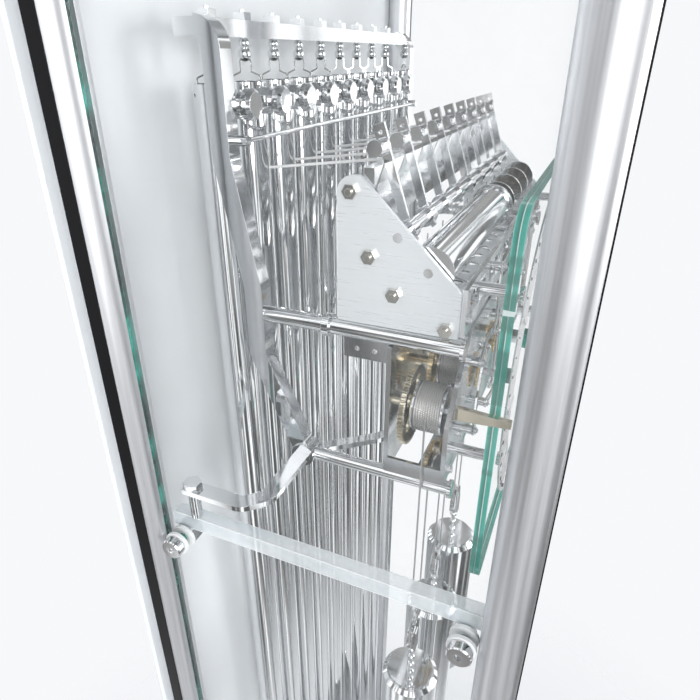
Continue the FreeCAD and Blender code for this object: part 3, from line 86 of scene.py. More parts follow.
# Places of the pieces that only this script makes, in metres
winding_front = -0.0775
winding_back = -0.0565
winding_turns = 11
winding_radius = 0.0199
cable_radius = 0.0009
ratchet_back = -0.0885
ratchet_front = -0.0905
click_front = -0.0903
click_spring_y = -0.0895
plate_lever_back = -0.0946
plate_lever_front = -0.0966
link_back = -0.097
link_front = -0.0986
rack_x = -0.0765
rack_z = 1.4865
flange_start = 0.0168
disc_offset = 0.0062
spring_rod_y = -0.0795
spring_rod_z = 1.5785
spring_rod_half = 0.2078
cover_top = 1.5482
cover_bottom = 1.5466
apron_screw_z = 1.5735
floor_radius = 1.1


class Shader:
    """A material with a Principled shader and short helpers that add and join nodes."""

    def __init__(self, name):
        self.material = bpy.data.materials.new(name)
        self.material.use_nodes = True
        self.tree = self.material.node_tree
        self.bsdf = self.tree.nodes["Principled BSDF"]

    def add(self, kind, **values):
        node = self.tree.nodes.new(kind)
        for key, value in values.items():
            setattr(node, key, value)
        return node

    def join(self, out, into):
        self.tree.links.new(out, into)

    def place(self, output="Object"):
        return self.add("ShaderNodeTexCoord").outputs[output]

    def noise(self, scale, stretch=(1, 1, 1), detail=3.0):
        mapping = self.add("ShaderNodeMapping")
        mapping.inputs["Scale"].default_value = stretch
        self.join(self.place(), mapping.inputs["Vector"])
        texture = self.add("ShaderNodeTexNoise")
        texture.inputs["Scale"].default_value = scale
        texture.inputs["Detail"].default_value = detail
        self.join(mapping.outputs["Vector"], texture.inputs["Vector"])
        return texture.outputs["Fac"]

    def spread(self, value, low, high, start=0.3, end=0.7):
        ranged = self.add("ShaderNodeMapRange")
        ranged.inputs["From Min"].default_value = start
        ranged.inputs["From Max"].default_value = end
        ranged.inputs["To Min"].default_value = low
        ranged.inputs["To Max"].default_value = high
        self.join(value, ranged.inputs["Value"])
        return ranged.outputs["Result"]

    def math(self, operation, first, second=0.0):
        node = self.add("ShaderNodeMath", operation=operation)
        for socket, value in zip(node.inputs, (first, second)):
            if isinstance(value, (int, float)):
                socket.default_value = value
            else:
                self.join(value, socket)
        return node.outputs[0]

    def mix(self, factor, first, second):
        node = self.add("ShaderNodeMix", data_type="RGBA")
        self.join(factor, node.inputs[0])
        for socket, value in zip((node.inputs[6], node.inputs[7]), (first, second)):
            if isinstance(value, tuple):
                socket.default_value = value
            else:
                self.join(value, socket)
        return node.outputs[2]

    def ramp(self, value, stops):
        node = self.add("ShaderNodeValToRGB")
        elements = node.color_ramp.elements
        elements[0].position, elements[0].color = stops[0]
        elements[1].position, elements[1].color = stops[-1]
        for position, colour in stops[1:-1]:
            elements.new(position).color = colour
        self.join(value, node.inputs["Fac"])
        return node.outputs["Color"]

    def surface(self, height, strength, distance, edge=0.0004):
        """Bump from a height, over edges that are rounded off by a small radius."""
        rounded = self.add("ShaderNodeBevel", samples=4)
        rounded.inputs["Radius"].default_value = edge
        bump = self.add("ShaderNodeBump")
        bump.inputs["Strength"].default_value = strength
        bump.inputs["Distance"].default_value = distance
        self.join(height, bump.inputs["Height"])
        self.join(rounded.outputs["Normal"], bump.inputs["Normal"])
        self.join(bump.outputs["Normal"], self.bsdf.inputs["Normal"])

    def axis_value(self, axis, output="Object"):
        split = self.add("ShaderNodeSeparateXYZ")
        self.join(self.place(output), split.inputs[0])
        return split.outputs[axis]


def darker(colour, share):
    return tuple(c * share for c in colour[:3]) + (1.0,)


def polished(name, colour, low=0.03, high=0.1, smudge=18.0, ripple=0.02, other=None, where=None):
    """Polished plated metal, with faint wipe marks in its gloss and colour, and maybe a second metal."""
    shader = Shader(name)
    marks = shader.noise(smudge, (1, 1, 0.35), 5.0)
    cloud = shader.spread(marks, 0.0, 1.0)
    tone = shader.mix(cloud, darker(colour, 0.88), colour)
    if where:
        tone = shader.mix(where(shader), tone, shader.mix(cloud, darker(other, 0.8), other))
    shader.join(tone, shader.bsdf.inputs["Base Color"])
    shader.join(shader.spread(marks, low, high), shader.bsdf.inputs["Roughness"])
    shader.bsdf.inputs["Metallic"].default_value = 1.0
    shader.surface(shader.noise(smudge * 3), ripple, 0.0004)
    return shader.material


def brushed(name, colour, stretch, low=0.26, high=0.42, grain=600.0, edge=0.0005):
    """Satin metal with fine straight grain along one axis and a few broad rubbed clouds."""
    shader = Shader(name)
    lines = shader.noise(grain, stretch, 2.0)
    cloud = shader.noise(7.0, (1, 1, 1), 4.0)
    tone = shader.mix(shader.spread(lines, 0.0, 1.0), darker(colour, 0.92), colour)
    tone = shader.mix(shader.spread(cloud, 0.0, 0.35), tone, darker(colour, 0.82))
    shader.join(tone, shader.bsdf.inputs["Base Color"])
    shader.join(shader.spread(lines, low, high), shader.bsdf.inputs["Roughness"])
    shader.bsdf.inputs["Metallic"].default_value = 1.0
    shader.surface(lines, 0.02, 0.0001, edge)
    return shader.material


def painted(name, colour, roughness=0.4):
    """Sprayed satin paint with a very fine orange-peel surface."""
    shader = Shader(name)
    cloud = shader.noise(9.0, (1, 1, 1), 4.0)
    shader.join(shader.mix(shader.spread(cloud, 0.0, 1.0), darker(colour, 0.94), colour),
                shader.bsdf.inputs["Base Color"])
    shader.join(shader.spread(cloud, roughness - 0.05, roughness + 0.06), shader.bsdf.inputs["Roughness"])
    shader.surface(shader.noise(900.0), 0.06, 0.0002)
    return shader.material


def cable_steel(name):
    """Fine stranded steel wire, its strands slanting round the cable, with painted shade in the grooves
    between strands and painted highlights on their crowns.
    """
    shader = Shader(name)
    wave = shader.add("ShaderNodeTexWave", bands_direction="DIAGONAL")
    wave.inputs["Scale"].default_value = 260.0
    wave.inputs["Distortion"].default_value = 0.4
    shader.join(shader.place(), wave.inputs["Vector"])
    strands = wave.outputs["Fac"]
    # painted shade and painted highlight: the colour runs dark in the grooves between strands and light on
    # their crowns
    shader.join(shader.mix(strands, (0.44, 0.43, 0.42, 1.0), (0.86, 0.85, 0.84, 1.0)),
                shader.bsdf.inputs["Base Color"])
    shader.join(shader.spread(strands, 0.45, 0.25, 0.0, 1.0), shader.bsdf.inputs["Roughness"])
    shader.bsdf.inputs["Metallic"].default_value = 1.0
    shader.surface(strands, 0.5, 0.0003, 0.0002)
    return shader.material


def pane(name, face_axis, face_alpha, edge_stops, patch, across=None, cross=0.0):
    """Plate glass: clear through its faces, with light caught in bands along its polished edges.

    across gives the two faces' places along the face axis, so that the bands run along the edge.
    """
    shader = Shader(name)
    normal = shader.math("ABSOLUTE", shader.axis_value(face_axis, "Normal"))
    edge = shader.math("LESS_THAN", normal, 0.8)
    streaks = shader.noise(26.0, (1, 1, 1), 4.0)
    if across:
        bands = shader.spread(shader.axis_value(face_axis), 0.0, 1.0, across[0], across[1])
    else:
        bands = shader.spread(streaks, 0.0, 1.0, 0.42, 0.6)
    banded = shader.ramp(bands, edge_stops)
    depths = shader.noise(11.0, (0.2, 0.2, 1.6), 3.0)
    banded = shader.mix(shader.spread(depths, 0.0, 0.75, 0.5, 0.53), banded, patch)
    # painted glints: white-teal spots scattered along the polished edges stand in for highlights
    glints = shader.math("GREATER_THAN", shader.noise(34.0, (0.2, 0.2, 1.0), 1.0), 0.68)
    banded = shader.mix(shader.math("MULTIPLY", glints, cross), banded, teal_white)
    shader.join(shader.mix(edge, glass_clear, banded), shader.bsdf.inputs["Base Color"])
    haze = shader.spread(streaks, face_alpha * 0.7, face_alpha * 1.3)
    alpha = shader.math("MAXIMUM", haze, shader.math("MULTIPLY", edge, 0.95))
    shader.join(alpha, shader.bsdf.inputs["Alpha"])
    shader.join(shader.spread(shader.noise(40.0), 0.02, 0.07), shader.bsdf.inputs["Roughness"])
    shader.bsdf.inputs["IOR"].default_value = 1.5
    return shader.material


def crossbar_glass():
    """Clear cast bar: bright ground arrises, and blocks of light that stand across its length."""
    shader = Shader("crossbar_glass_look")
    rounded = shader.add("ShaderNodeBevel", samples=6)
    rounded.inputs["Radius"].default_value = 0.0016
    geometry = shader.add("ShaderNodeNewGeometry")
    agree = shader.add("ShaderNodeVectorMath", operation="DOT_PRODUCT")
    shader.join(rounded.outputs["Normal"], agree.inputs[0])
    shader.join(geometry.outputs["Normal"], agree.inputs[1])
    arris = shader.spread(agree.outputs["Value"], 1.0, 0.0, 0.9, 0.995)
    blocks = shader.noise(16.0, (1, 0.12, 0.12), 3.0)
    swirl = shader.noise(70.0, (1, 1, 1), 4.0)
    tone = shader.ramp(blocks, [(0.38, (0.6, 0.7, 0.76, 1.0)), (0.47, (0.86, 0.9, 0.92, 1.0)),
                                (0.5, (0.7, 0.78, 0.82, 1.0)), (0.56, (0.97, 0.99, 1.0, 1.0))])
    shader.join(shader.mix(arris, tone, (0.98, 1.0, 1.0, 1.0)), shader.bsdf.inputs["Base Color"])
    body = shader.math("MULTIPLY", shader.spread(blocks, 0.35, 0.85, 0.4, 0.6),
                       shader.spread(swirl, 0.75, 1.0))
    shader.join(shader.math("MAXIMUM", body, arris), shader.bsdf.inputs["Alpha"])
    shader.join(shader.spread(swirl, 0.03, 0.1), shader.bsdf.inputs["Roughness"])
    shader.bsdf.inputs["IOR"].default_value = 1.5
    shader.surface(swirl, 0.12, 0.0008, 0.001)
    return shader.material


def clamp_material():
    """Chrome clamps and caps with white plastic washers against the glass."""
    shader = Shader("clamp_look")
    marks = shader.noise(30.0, (1, 1, 1), 5.0)
    side = shader.math("ABSOLUTE", shader.axis_value(0))
    washer = shader.math("MULTIPLY", shader.math("GREATER_THAN", side, washer_start),
                         shader.math("LESS_THAN", side, washer_end))
    tone = shader.mix(shader.spread(marks, 0.0, 1.0), darker(chrome_colour, 0.88), chrome_colour)
    shader.join(shader.mix(washer, tone, (0.85, 0.86, 0.86, 1.0)), shader.bsdf.inputs["Base Color"])
    shader.join(shader.math("SUBTRACT", 1.0, washer), shader.bsdf.inputs["Metallic"])
    gloss = shader.spread(marks, 0.04, 0.12)
    shader.join(shader.math("ADD", gloss, shader.math("MULTIPLY", washer, 0.25)),
                shader.bsdf.inputs["Roughness"])
    shader.surface(marks, 0.03, 0.0004, 0.0006)
    return shader.material


def post_material():
    """Satin aluminium extrusion with a black gasket let into it."""
    shader = Shader("post_satin_look")
    grain = shader.noise(500.0, (1, 1, 0.01), 2.0)
    satin = shader.mix(shader.spread(grain, 0.0, 1.0), (0.74, 0.75, 0.77, 1.0), (0.84, 0.85, 0.87, 1.0))
    y = shader.axis_value(1)
    front = shader.math("LESS_THAN", y, front_post_y - gasket_floor)
    outer = shader.math("GREATER_THAN", shader.math("ABSOLUTE", shader.axis_value(0)), post_x + gasket_floor)
    side = shader.math("MULTIPLY", outer, shader.math("GREATER_THAN", y, 0.0))
    gasket = shader.math("MAXIMUM", front, side)
    shader.join(shader.mix(gasket, satin, black_trim), shader.bsdf.inputs["Base Color"])
    shader.join(shader.math("SUBTRACT", 1.0, gasket), shader.bsdf.inputs["Metallic"])
    shader.join(shader.spread(grain, 0.36, 0.44), shader.bsdf.inputs["Roughness"])
    shader.bsdf.inputs["Specular IOR Level"].default_value = 0.15
    shader.surface(grain, 0.02, 0.0002)
    return shader.material


def side_plate_material():
    """Satin plates with a fine level grain, and polished steel nuts on their outer faces."""
    shader = Shader("side_plate_look")
    grain = shader.noise(900.0, (1, 0.03, 1), 2.0)
    cloud = shader.noise(5.0, (1, 1, 1), 3.0)
    nut = shader.math("GREATER_THAN", shader.math("ABSOLUTE", shader.axis_value(0)), plate_outer_x)
    satin = shader.mix(shader.spread(grain, 0.0, 1.0), (0.84, 0.87, 0.89, 1.0), (0.89, 0.92, 0.94, 1.0))
    satin = shader.mix(shader.spread(cloud, 0.0, 0.4), satin, (0.72, 0.76, 0.79, 1.0))
    shader.join(shader.mix(nut, satin, (0.6, 0.58, 0.54, 1.0)), shader.bsdf.inputs["Base Color"])
    gloss = shader.spread(grain, 0.27, 0.31)
    shader.join(shader.math("SUBTRACT", gloss, shader.math("MULTIPLY", nut, 0.16)),
                shader.bsdf.inputs["Roughness"])
    shader.join(shader.math("MAXIMUM", nut, 0.45), shader.bsdf.inputs["Metallic"])
    shader.surface(grain, 0.012, 0.0001, 0.0006)
    return shader.material


def gold_wheel_mask(shader):
    return shader.math("GREATER_THAN", shader.axis_value(1), great_wheel_front)


def lever_mask(shader):
    """The great wheel, and the hand lever in front of the train plate."""
    return shader.math("MAXIMUM", gold_wheel_mask(shader),
                       shader.math("LESS_THAN", shader.axis_value(1), lever_front))


def cam_mask(shader):
    return shader.math("GREATER_THAN", shader.axis_value(0), drum_shell_end)


def hand_wheel_mask(shader):
    return shader.math("GREATER_THAN", shader.axis_value(1), hand_wheel_front)


def hand_material():
    """Black painted hands on brass pipes and wheels."""
    shader = Shader("hand_look")
    brass = hand_wheel_mask(shader)
    cloud = shader.noise(30.0, (1, 1, 1), 4.0)
    paint = shader.mix(shader.spread(cloud, 0.0, 1.0), (0.011, 0.011, 0.013, 1.0), (0.02, 0.02, 0.023, 1.0))
    shader.join(shader.mix(brass, paint, gold_colour), shader.bsdf.inputs["Base Color"])
    shader.join(brass, shader.bsdf.inputs["Metallic"])
    shader.join(shader.spread(cloud, 0.22, 0.34), shader.bsdf.inputs["Roughness"])
    shader.surface(cloud, 0.05, 0.0003)
    return shader.material


def dress(names, material):
    for name in names:
        data = nodes[name].data
        data.materials.clear()
        data.materials.append(material)


def dress_nodes():
    numbered = range(1, 10)
    dress(["bell_%d" % n for n in numbered], polished("bell_chrome_look", chrome_colour, 0.03, 0.12, 9.0))
    dress(["hammer_%d" % n for n in numbered], polished("hammer_chrome_look", chrome_colour, 0.05, 0.14))
    dress(["bell_rack", "bell_hangers", "cradle_struts", "brace_bars", "cable_rail",
           "dial_posts", "door_knob"], polished("frame_chrome_look", chrome_colour, 0.03, 0.1))
    dress(["crossbar_clamps"], clamp_material())
    dress(["movement_side_plates"], side_plate_material())
    dress(["train_plates", "hammer_rest_bar", "anchor", "hammer_shaft"],
          polished("movement_plate_look", (0.8, 0.81, 0.83, 1.0), 0.08, 0.2, 30.0))
    dress(["music_drum"],
          polished("drum_chrome_look", chrome_colour, 0.04, 0.12, 14.0, 0.05, bronze_colour, cam_mask))
    dress(["chime_barrel"],
          polished("chime_barrel_look", steel_colour, 0.08, 0.2, 30.0, 0.04, pale_gold, lever_mask))
    dress(["strike_barrel", "time_barrel"],
          polished("barrel_look", steel_colour, 0.08, 0.2, 30.0, 0.04, gold_colour, gold_wheel_mask))
    dress(["centre_wheel", "third_wheel", "escape_wheel", "minute_wheel"],
          polished("gilt_wheel_look", gold_colour, 0.08, 0.2))
    dress(["chime_weight", "strike_weight", "time_weight"],
          polished("weight_chrome_look", chrome_colour, 0.03, 0.1, 12.0))
    dress(["pendulum"], polished("pendulum_chrome_look", chrome_colour, 0.03, 0.12, 8.0))
    dress(["steady_rods"], painted("steady_rod_look", (0.88, 0.88, 0.88, 1.0), 0.3))
    dress(["chime_cable", "strike_cable", "time_cable", "cable_leads"], cable_steel("cable_look"))
    dress(["glass_crossbars"], crossbar_glass())
    dark_edge = [(0.0, teal_dark), (0.7, teal_deep), (1.0, teal_mid)]
    dress(["side_glass"], pane("side_glass_look", 0, 0.03, dark_edge, teal_dark))
    dress(["door_glass"], pane("door_glass_look", 1, 0.04, dark_edge, teal_dark))
    edges = [(0.0, teal_light), (0.1, teal_mid), (0.44, teal_mid), (0.5, teal_white), (0.56, teal_deep),
             (0.9, teal_mid), (1.0, teal_light)]
    dial_low, dial_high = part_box("dial_glass")
    dress(["dial_glass"],
          pane("dial_glass_look", 1, 0.08, edges, teal_deep, (dial_low[1], dial_high[1]), 0.8))
    dress(["chapter_ring"], brushed("chapter_ring_look", (0.82, 0.82, 0.83, 1.0), (1, 1, 1), 0.25, 0.4))
    dress(["hour_hand", "minute_hand"], hand_material())
    dress(["corner_posts"], post_material())
    dress(["door_frame"], brushed("door_frame_look", (0.64, 0.65, 0.67, 1.0), (1, 1, 0.01)))
    dress(["plinth", "roof_plate"], brushed("case_look", (0.66, 0.67, 0.69, 1.0), (0.01, 1, 1)))
    dress(["back_panel"], painted("back_white_look", (0.82, 0.845, 0.865, 1.0), 0.35))


def settle(piece, body, material):
    """Links a finished piece, gives it its material and lets it ride on its body."""
    piece.data.materials.append(material)
    bpy.context.scene.collection.objects.link(piece)
    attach(piece, body)


def flat_part(name, outlines, back, front, body, material, crisp=True, level=False):
    """A part cut from sheet: closed outlines in x and z, holes included, between two depths.

    A level part lies flat instead: outlines in x and y, between two heights, the upper one first.
    """
    rim = 0.00025
    curve = bpy.data.curves.new(name, "CURVE")
    curve.dimensions = "2D"
    curve.fill_mode = "BOTH"
    curve.extrude = (back - front) / 2 - rim
    curve.bevel_depth = rim
    curve.offset = -rim
    curve.bevel_resolution = 2
    for outline in outlines:
        spline = curve.splines.new("POLY")
        spline.points.add(len(outline) - 1)
        for point, (x, z) in zip(spline.points, outline):
            point.co = (x, z, 0, 1)
        spline.use_cyclic_u = True
        spline.use_smooth = not crisp
    piece = bpy.data.objects.new(name, curve)
    if level:
        piece.location = (0, 0, (back + front) / 2)
    else:
        piece.rotation_euler = (math.radians(90), 0, 0)
        piece.location = (0, (back + front) / 2, 0)
    settle(piece, body, material)


def ring_points(x, z, radius, steps=40, start=0.0, sweep=360.0):
    points = []
    for n in range(steps):
        angle = math.radians(start + sweep * n / steps)
        points.append((x + radius * math.cos(angle), z + radius * math.sin(angle)))
    return points


def saw_points(x, z, radius, depth, teeth):
    """Outline of a ratchet wheel, with one steep and one long flank to each tooth."""
    points = []
    for n in range(teeth):
        for share, reach in ((0.0, radius), (0.12, radius - depth), (0.7, radius - depth * 0.45)):
            angle = 2 * math.pi * (n + share) / teeth
            points.append((x + reach * math.cos(angle), z + reach * math.sin(angle)))
    return points


def lever_points(path, widths):
    """Outline of a flat lever that follows a path, with a rounded eye at each end."""
    left, right = [], []
    for n, (x, z) in enumerate(path):
        before = path[max(n - 1, 0)]
        after = path[min(n + 1, len(path) - 1)]
        angle = math.atan2(after[1] - before[1], after[0] - before[0]) + math.pi / 2
        reach = widths[n]
        left.append((x + reach * math.cos(angle), z + reach * math.sin(angle)))
        right.append((x - reach * math.cos(angle), z - reach * math.sin(angle)))
    first = math.atan2(path[1][1] - path[0][1], path[1][0] - path[0][0])
    last = math.atan2(path[-1][1] - path[-2][1], path[-1][0] - path[-2][0])
    tip = []
    root = []
    for n in range(1, 12):
        turn = math.pi * n / 12
        tip.append((path[-1][0] + widths[-1] * math.cos(last + math.pi / 2 - turn),
                    path[-1][1] + widths[-1] * math.sin(last + math.pi / 2 - turn)))
        root.append((path[0][0] + widths[0] * math.cos(first - math.pi / 2 - turn),
                     path[0][1] + widths[0] * math.sin(first - math.pi / 2 - turn)))
    return left + tip + right[::-1] + root


def turned_part(name, profile, x, z, face, body, material, steps=36, along_x=False):
    """A pin turned about an axis along Y: pairs of radius and distance in front of a face.

    With along_x the axis lies along X, at a place given by y and z, and the distances go to +X.
    """
    vertices = []
    faces = []
    for radius, reach in profile:
        for n in range(steps):
            angle = 2 * math.pi * n / steps
            side, height = x + radius * math.cos(angle), z + radius * math.sin(angle)
            vertices.append((face + reach, side, height) if along_x else (side, face - reach, height))
    for ring in range(len(profile) - 1):
        for n in range(steps):
            a = ring * steps + n
            b = ring * steps + (n + 1) % steps
            faces.append((a, b, b + steps, a + steps))
    faces.append(tuple(range(steps))[::-1])
    faces.append(tuple(range((len(profile) - 1) * steps, len(profile) * steps)))
    mesh = bpy.data.meshes.new(name)
    mesh.from_pydata(vertices, [], faces)
    mesh.polygons.foreach_set("use_smooth", [True] * len(mesh.polygons))
    mesh.set_sharp_from_angle(angle=math.radians(30))
    settle(bpy.data.objects.new(name, mesh), body, material)


def wire_part(name, points, radius, body, material, kind="NURBS"):
    """A round wire through a row of points."""
    curve = bpy.data.curves.new(name, "CURVE")
    curve.dimensions = "3D"
    curve.bevel_depth = radius
    curve.bevel_resolution = 2
    curve.use_fill_caps = True
    spline = curve.splines.new(kind)
    spline.points.add(len(points) - 1)
    for point, place in zip(spline.points, points):
        point.co = (*place, 1)
    if kind == "NURBS":
        spline.order_u = 3
        spline.use_endpoint_u = True
    settle(bpy.data.objects.new(name, curve), body, material)


def slotted_screw(name, x, z, face, radius, angle, body, chrome):
    """A cheese-head screw on a washer, its slot left between two half discs."""
    washer_radius, washer_top, slot_floor, head_top = radius * 1.45, 0.0006, 0.0018, 0.0028
    turned_part(name + "_base", [(washer_radius, 0.0), (washer_radius, washer_top), (radius, washer_top),
                                 (radius, slot_floor)], x, z, face, body, chrome)
    halves = []
    gap = math.degrees(math.asin(0.16))
    for start in (angle + gap, angle + 180 + gap):
        halves.append(ring_points(x, z, radius, 24, start, 180 - gap * 2 + 7.5))
    flat_part(name + "_head", halves, face - slot_floor, face - head_top, body, chrome, False)


def pivot_stud(name, x, z, height, chrome, face=plate_face):
    """A shouldered stud on a plate's face that carries a lever, with its keeper ring."""
    turned_part(name, [(0.0042, 0.0), (0.0042, height - 0.0004), (0.0038, height), (0.0021, height),
                       (0.0021, height + 0.0026), (0.0034, height + 0.0026), (0.0034, height + 0.0036),
                       (0.0018, height + 0.0036), (0.0018, height + 0.0046), (0.0013, height + 0.005)],
                x, z, face, "case", chrome)


def build_windings(steel):
    """Cable wound on each barrel in one close layer."""
    names = ("chime_barrel", "strike_barrel", "time_barrel")
    steps = 28
    for name, x in zip(names, barrel_xs):
        points = []
        for n in range(winding_turns * steps + 1):
            angle = 2 * math.pi * n / steps
            y = winding_back + (winding_front - winding_back) * n / (winding_turns * steps)
            points.append((x + winding_radius * math.cos(angle), y,
                           barrel_z + winding_radius * math.sin(angle)))
        wire_part(name + "_winding", points, cable_radius, name, steel, "POLY")


def build_ratchets(gold, chrome):
    """Ratchet wheel on the strike and time winding arbors, each with its click and spring on the train
    plate.
    """
    bodies = ("strike_barrel", "time_barrel")
    hole_count, hole_reach = 5, 0.0096
    spring_bends = ((0.034, -0.004), (0.033, 0.006), (0.029, 0.010), (0.0246, 0.0075), (0.0228, 0.0068))
    for name, x in zip(bodies, barrel_xs[1:]):
        outline = saw_points(x, barrel_z, 0.0165, 0.0022, 34)
        holes = [ring_points(x, barrel_z, 0.0048, 32)]
        for n in range(hole_count):
            angle = 2 * math.pi * n / hole_count
            hole_x = x + hole_reach * math.cos(angle)
            hole_z = barrel_z + hole_reach * math.sin(angle)
            holes.append(ring_points(hole_x, hole_z, 0.0026, 20))
        flat_part(name + "_ratchet", [outline] + holes, ratchet_back, ratchet_front, name, gold)
        turned_part(name + "_boss", [(0.0042, 0.0), (0.0064, 0.0), (0.0064, 0.0012), (0.0058, 0.0016),
                                     (0.0042, 0.0016)], x, barrel_z, -0.0906, name, chrome)
        pin_x, pin_z = x + 0.0235, barrel_z + 0.0135
        click = [(pin_x, pin_z), (x + 0.0205, barrel_z + 0.0095), (x + 0.0168, barrel_z + 0.0042)]
        flat_part(name + "_click", [lever_points(click, (0.0034, 0.0022, 0.0008)),
                                    ring_points(pin_x, pin_z, 0.0016, 20)],
                  ratchet_back, click_front, "case", chrome)
        pivot_stud(name + "_click_stud", pin_x, pin_z, 0.0023, chrome)
        bends = [(x + side, click_spring_y, barrel_z + rise) for side, rise in spring_bends]
        wire_part(name + "_click_spring", bends, 0.0004, "case", chrome)
        slotted_screw(name + "_spring_screw", x + 0.034, barrel_z - 0.006, plate_face, 0.0026, 35,
                      "case", chrome)


def build_plate_levers(chrome):
    """Strike and chime levers on studs in front of the train plate, behind the dial."""
    levers = {
        "rack_lever": ([(-0.082, 1.5345), (-0.0815, 1.518), (-0.0805, 1.4985), (-0.079, 1.476),
                        (-0.0765, 1.4575)], (0.0052, 0.003, 0.0026, 0.0026, 0.0034)),
        "rack_hook": ([(-0.158, 1.5205), (-0.1475, 1.529), (-0.13, 1.5335), (-0.112, 1.531),
                       (-0.0985, 1.5225)], (0.005, 0.003, 0.0026, 0.0024, 0.0013)),
        "lifting_lever": ([(-0.1, 1.4475), (-0.075, 1.4435), (-0.05, 1.4435), (-0.026, 1.449),
                           (-0.0115, 1.4575)], (0.005, 0.0028, 0.0026, 0.0022, 0.0014)),
        "warning_lever": ([(-0.1545, 1.4495), (-0.1585, 1.4665), (-0.157, 1.486), (-0.1515, 1.503),
                           (-0.149, 1.5115)], (0.005, 0.003, 0.0026, 0.0022, 0.0014)),
        "chime_lever": ([(0.0405, 1.5365), (0.022, 1.5415), (-0.002, 1.5435), (-0.028, 1.54),
                         (-0.0485, 1.5295)], (0.005, 0.003, 0.0026, 0.0024, 0.0016)),
    }
    for name, (path, widths) in levers.items():
        eye = ring_points(path[0][0], path[0][1], 0.0022, 24)
        flat_part(name, [lever_points(path, widths), eye], plate_lever_back, plate_lever_front,
                  "case", chrome)
        pivot_stud(name + "_stud", path[0][0], path[0][1], plate_face - plate_lever_back, chrome)
    tip, root, inside, tooth_count, tooth_step = 0.0315, 0.0295, 0.0258, 15, 4.2
    teeth = []
    for n in range(tooth_count):
        angle = math.radians(200 + tooth_step * n)
        for reach, lag in ((tip, 0.0), (root, 1.0), (root, 2.6)):
            turn = angle + math.radians(lag)
            teeth.append((rack_x + reach * math.cos(turn), rack_z + reach * math.sin(turn)))
    inner = []
    for n in range(tooth_count):
        angle = math.radians(261 - tooth_step * n)
        inner.append((rack_x + inside * math.cos(angle), rack_z + inside * math.sin(angle)))
    flat_part("rack_teeth", [teeth + inner], plate_lever_back, plate_lever_front,
              "case", chrome)
    for number, (x, z, angle) in enumerate(((-0.2, 1.436, 20), (-0.104, 1.5395, 70), (0.044, 1.436, 115),
                                            (0.0445, 1.5, 10), (-0.0655, 1.5425, 50), (-0.172, 1.4555, 140),
                                            (0.202, 1.4365, 60), (0.202, 1.5405, 15), (0.12, 1.5435, 95))):
        slotted_screw("plate_screw_%d" % (number + 1), x, z, plate_face, 0.003, angle, "case", chrome)


def build_spring_row(chrome):
    """A rod under the drum with one coiled return spring for each hammer."""
    ends = [(-spring_rod_half, spring_rod_y, spring_rod_z), (spring_rod_half, spring_rod_y, spring_rod_z)]
    wire_part("spring_rod", ends, 0.0026, "case", chrome, "POLY")
    coil_radius, coil_turns, coil_steps, coil_pitch = 0.0038, 6, 8, 0.0013
    tail = ((-0.07, 1.5838), (-0.056, 1.586), (-0.0435, 1.5925), (-0.0375, 1.605), (-0.0382, 1.6195))
    for number in range(hammer_count):
        x = hammer_first_x + hammer_pitch * number
        start = x - coil_turns * coil_pitch
        points = []
        for n in range(coil_turns * coil_steps + 1):
            angle = 2 * math.pi * n / coil_steps
            points.append((start + coil_pitch * n / coil_steps, spring_rod_y + coil_radius * math.sin(angle),
                           spring_rod_z + coil_radius * math.cos(angle)))
        points += [(x, y, z) for y, z in tail]
        wire_part("hammer_spring_%d" % (number + 1), points, 0.0006, "case", chrome)


def build_drum_flange(chrome):
    """A turned flange that closes the far end of the drum's shell, and four thin discs beyond it."""
    profile = [(0.0182, 0.0), (0.0206, 0.0003), (0.0211, 0.0008), (0.0211, 0.0021), (0.0207, 0.0026),
               (0.0182, 0.0026), (0.0176, 0.0016), (0.0075, 0.0016), (0.0068, 0.0034), (0.0046, 0.0036)]
    turned_part("drum_flange", profile, drum_y, drum_z, flange_start, "music_drum",
                chrome, 72, True)
    disc = [(0.0192, 0.0), (0.0196, 0.0003), (0.0196, 0.0011), (0.0192, 0.0014), (0.0165, 0.0014),
            (0.016, 0.0009), (0.0065, 0.0009), (0.006, 0.0018)]
    for number in range(4):
        turned_part("cam_disc_%d" % (number + 1), disc, drum_y, drum_z,
                    hammer_pitch * (number + 1) - disc_offset, "music_drum",
                    chrome, 72, True)


def build_cage_cover(chrome):
    """A pierced plate that lies over the right-hand part of the train, between the two train plates."""
    left, right, rear, fore = -0.15, 0.2055, -0.0359, -0.0821
    outlines = [[(left, rear), (left, fore), (right, fore), (right, rear)]]
    hole_pitch = 0.0318
    for n in range(11):
        outlines.append(ring_points(-0.131 + hole_pitch * n, -0.0672, 0.0082, 32))
        outlines.append(ring_points(-0.1151 + hole_pitch * n, -0.0462, 0.0056, 28))
    flat_part("cage_cover", outlines, cover_top, cover_bottom, "case", chrome, True, True)


def build_links(chrome):
    """Two links from levers on the train plate up to the upper plate, and that plate's screws."""
    links = {"strike_link": [(-0.112, 1.531), (-0.1165, 1.552), (-0.1205, 1.574), (-0.1195, 1.5925)],
             "chime_link": [(0.022, 1.5415), (0.0335, 1.5565), (0.0425, 1.5745), (0.0435, 1.5925)]}
    for name, path in links.items():
        foot, head = path[0], path[-1]
        eyes = [ring_points(foot[0], foot[1], 0.0021, 24), ring_points(head[0], head[1], 0.0021, 24)]
        flat_part(name, [lever_points(path, (0.004, 0.0026, 0.0026, 0.0044))] + eyes, link_back, link_front,
                  "case", chrome)
        pivot_stud(name + "_pin", foot[0], foot[1], plate_lever_front - link_back, chrome, plate_lever_front)
        pivot_stud(name + "_stud", head[0], head[1], apron_face - link_back, chrome, apron_face)
    for number, x in enumerate((-0.195, -0.135, -0.06, 0.01, 0.08, 0.14, 0.195)):
        slotted_screw("apron_screw_%d" % (number + 1), x, apron_screw_z, apron_face, 0.0028, 25 * number,
                      "case", chrome)


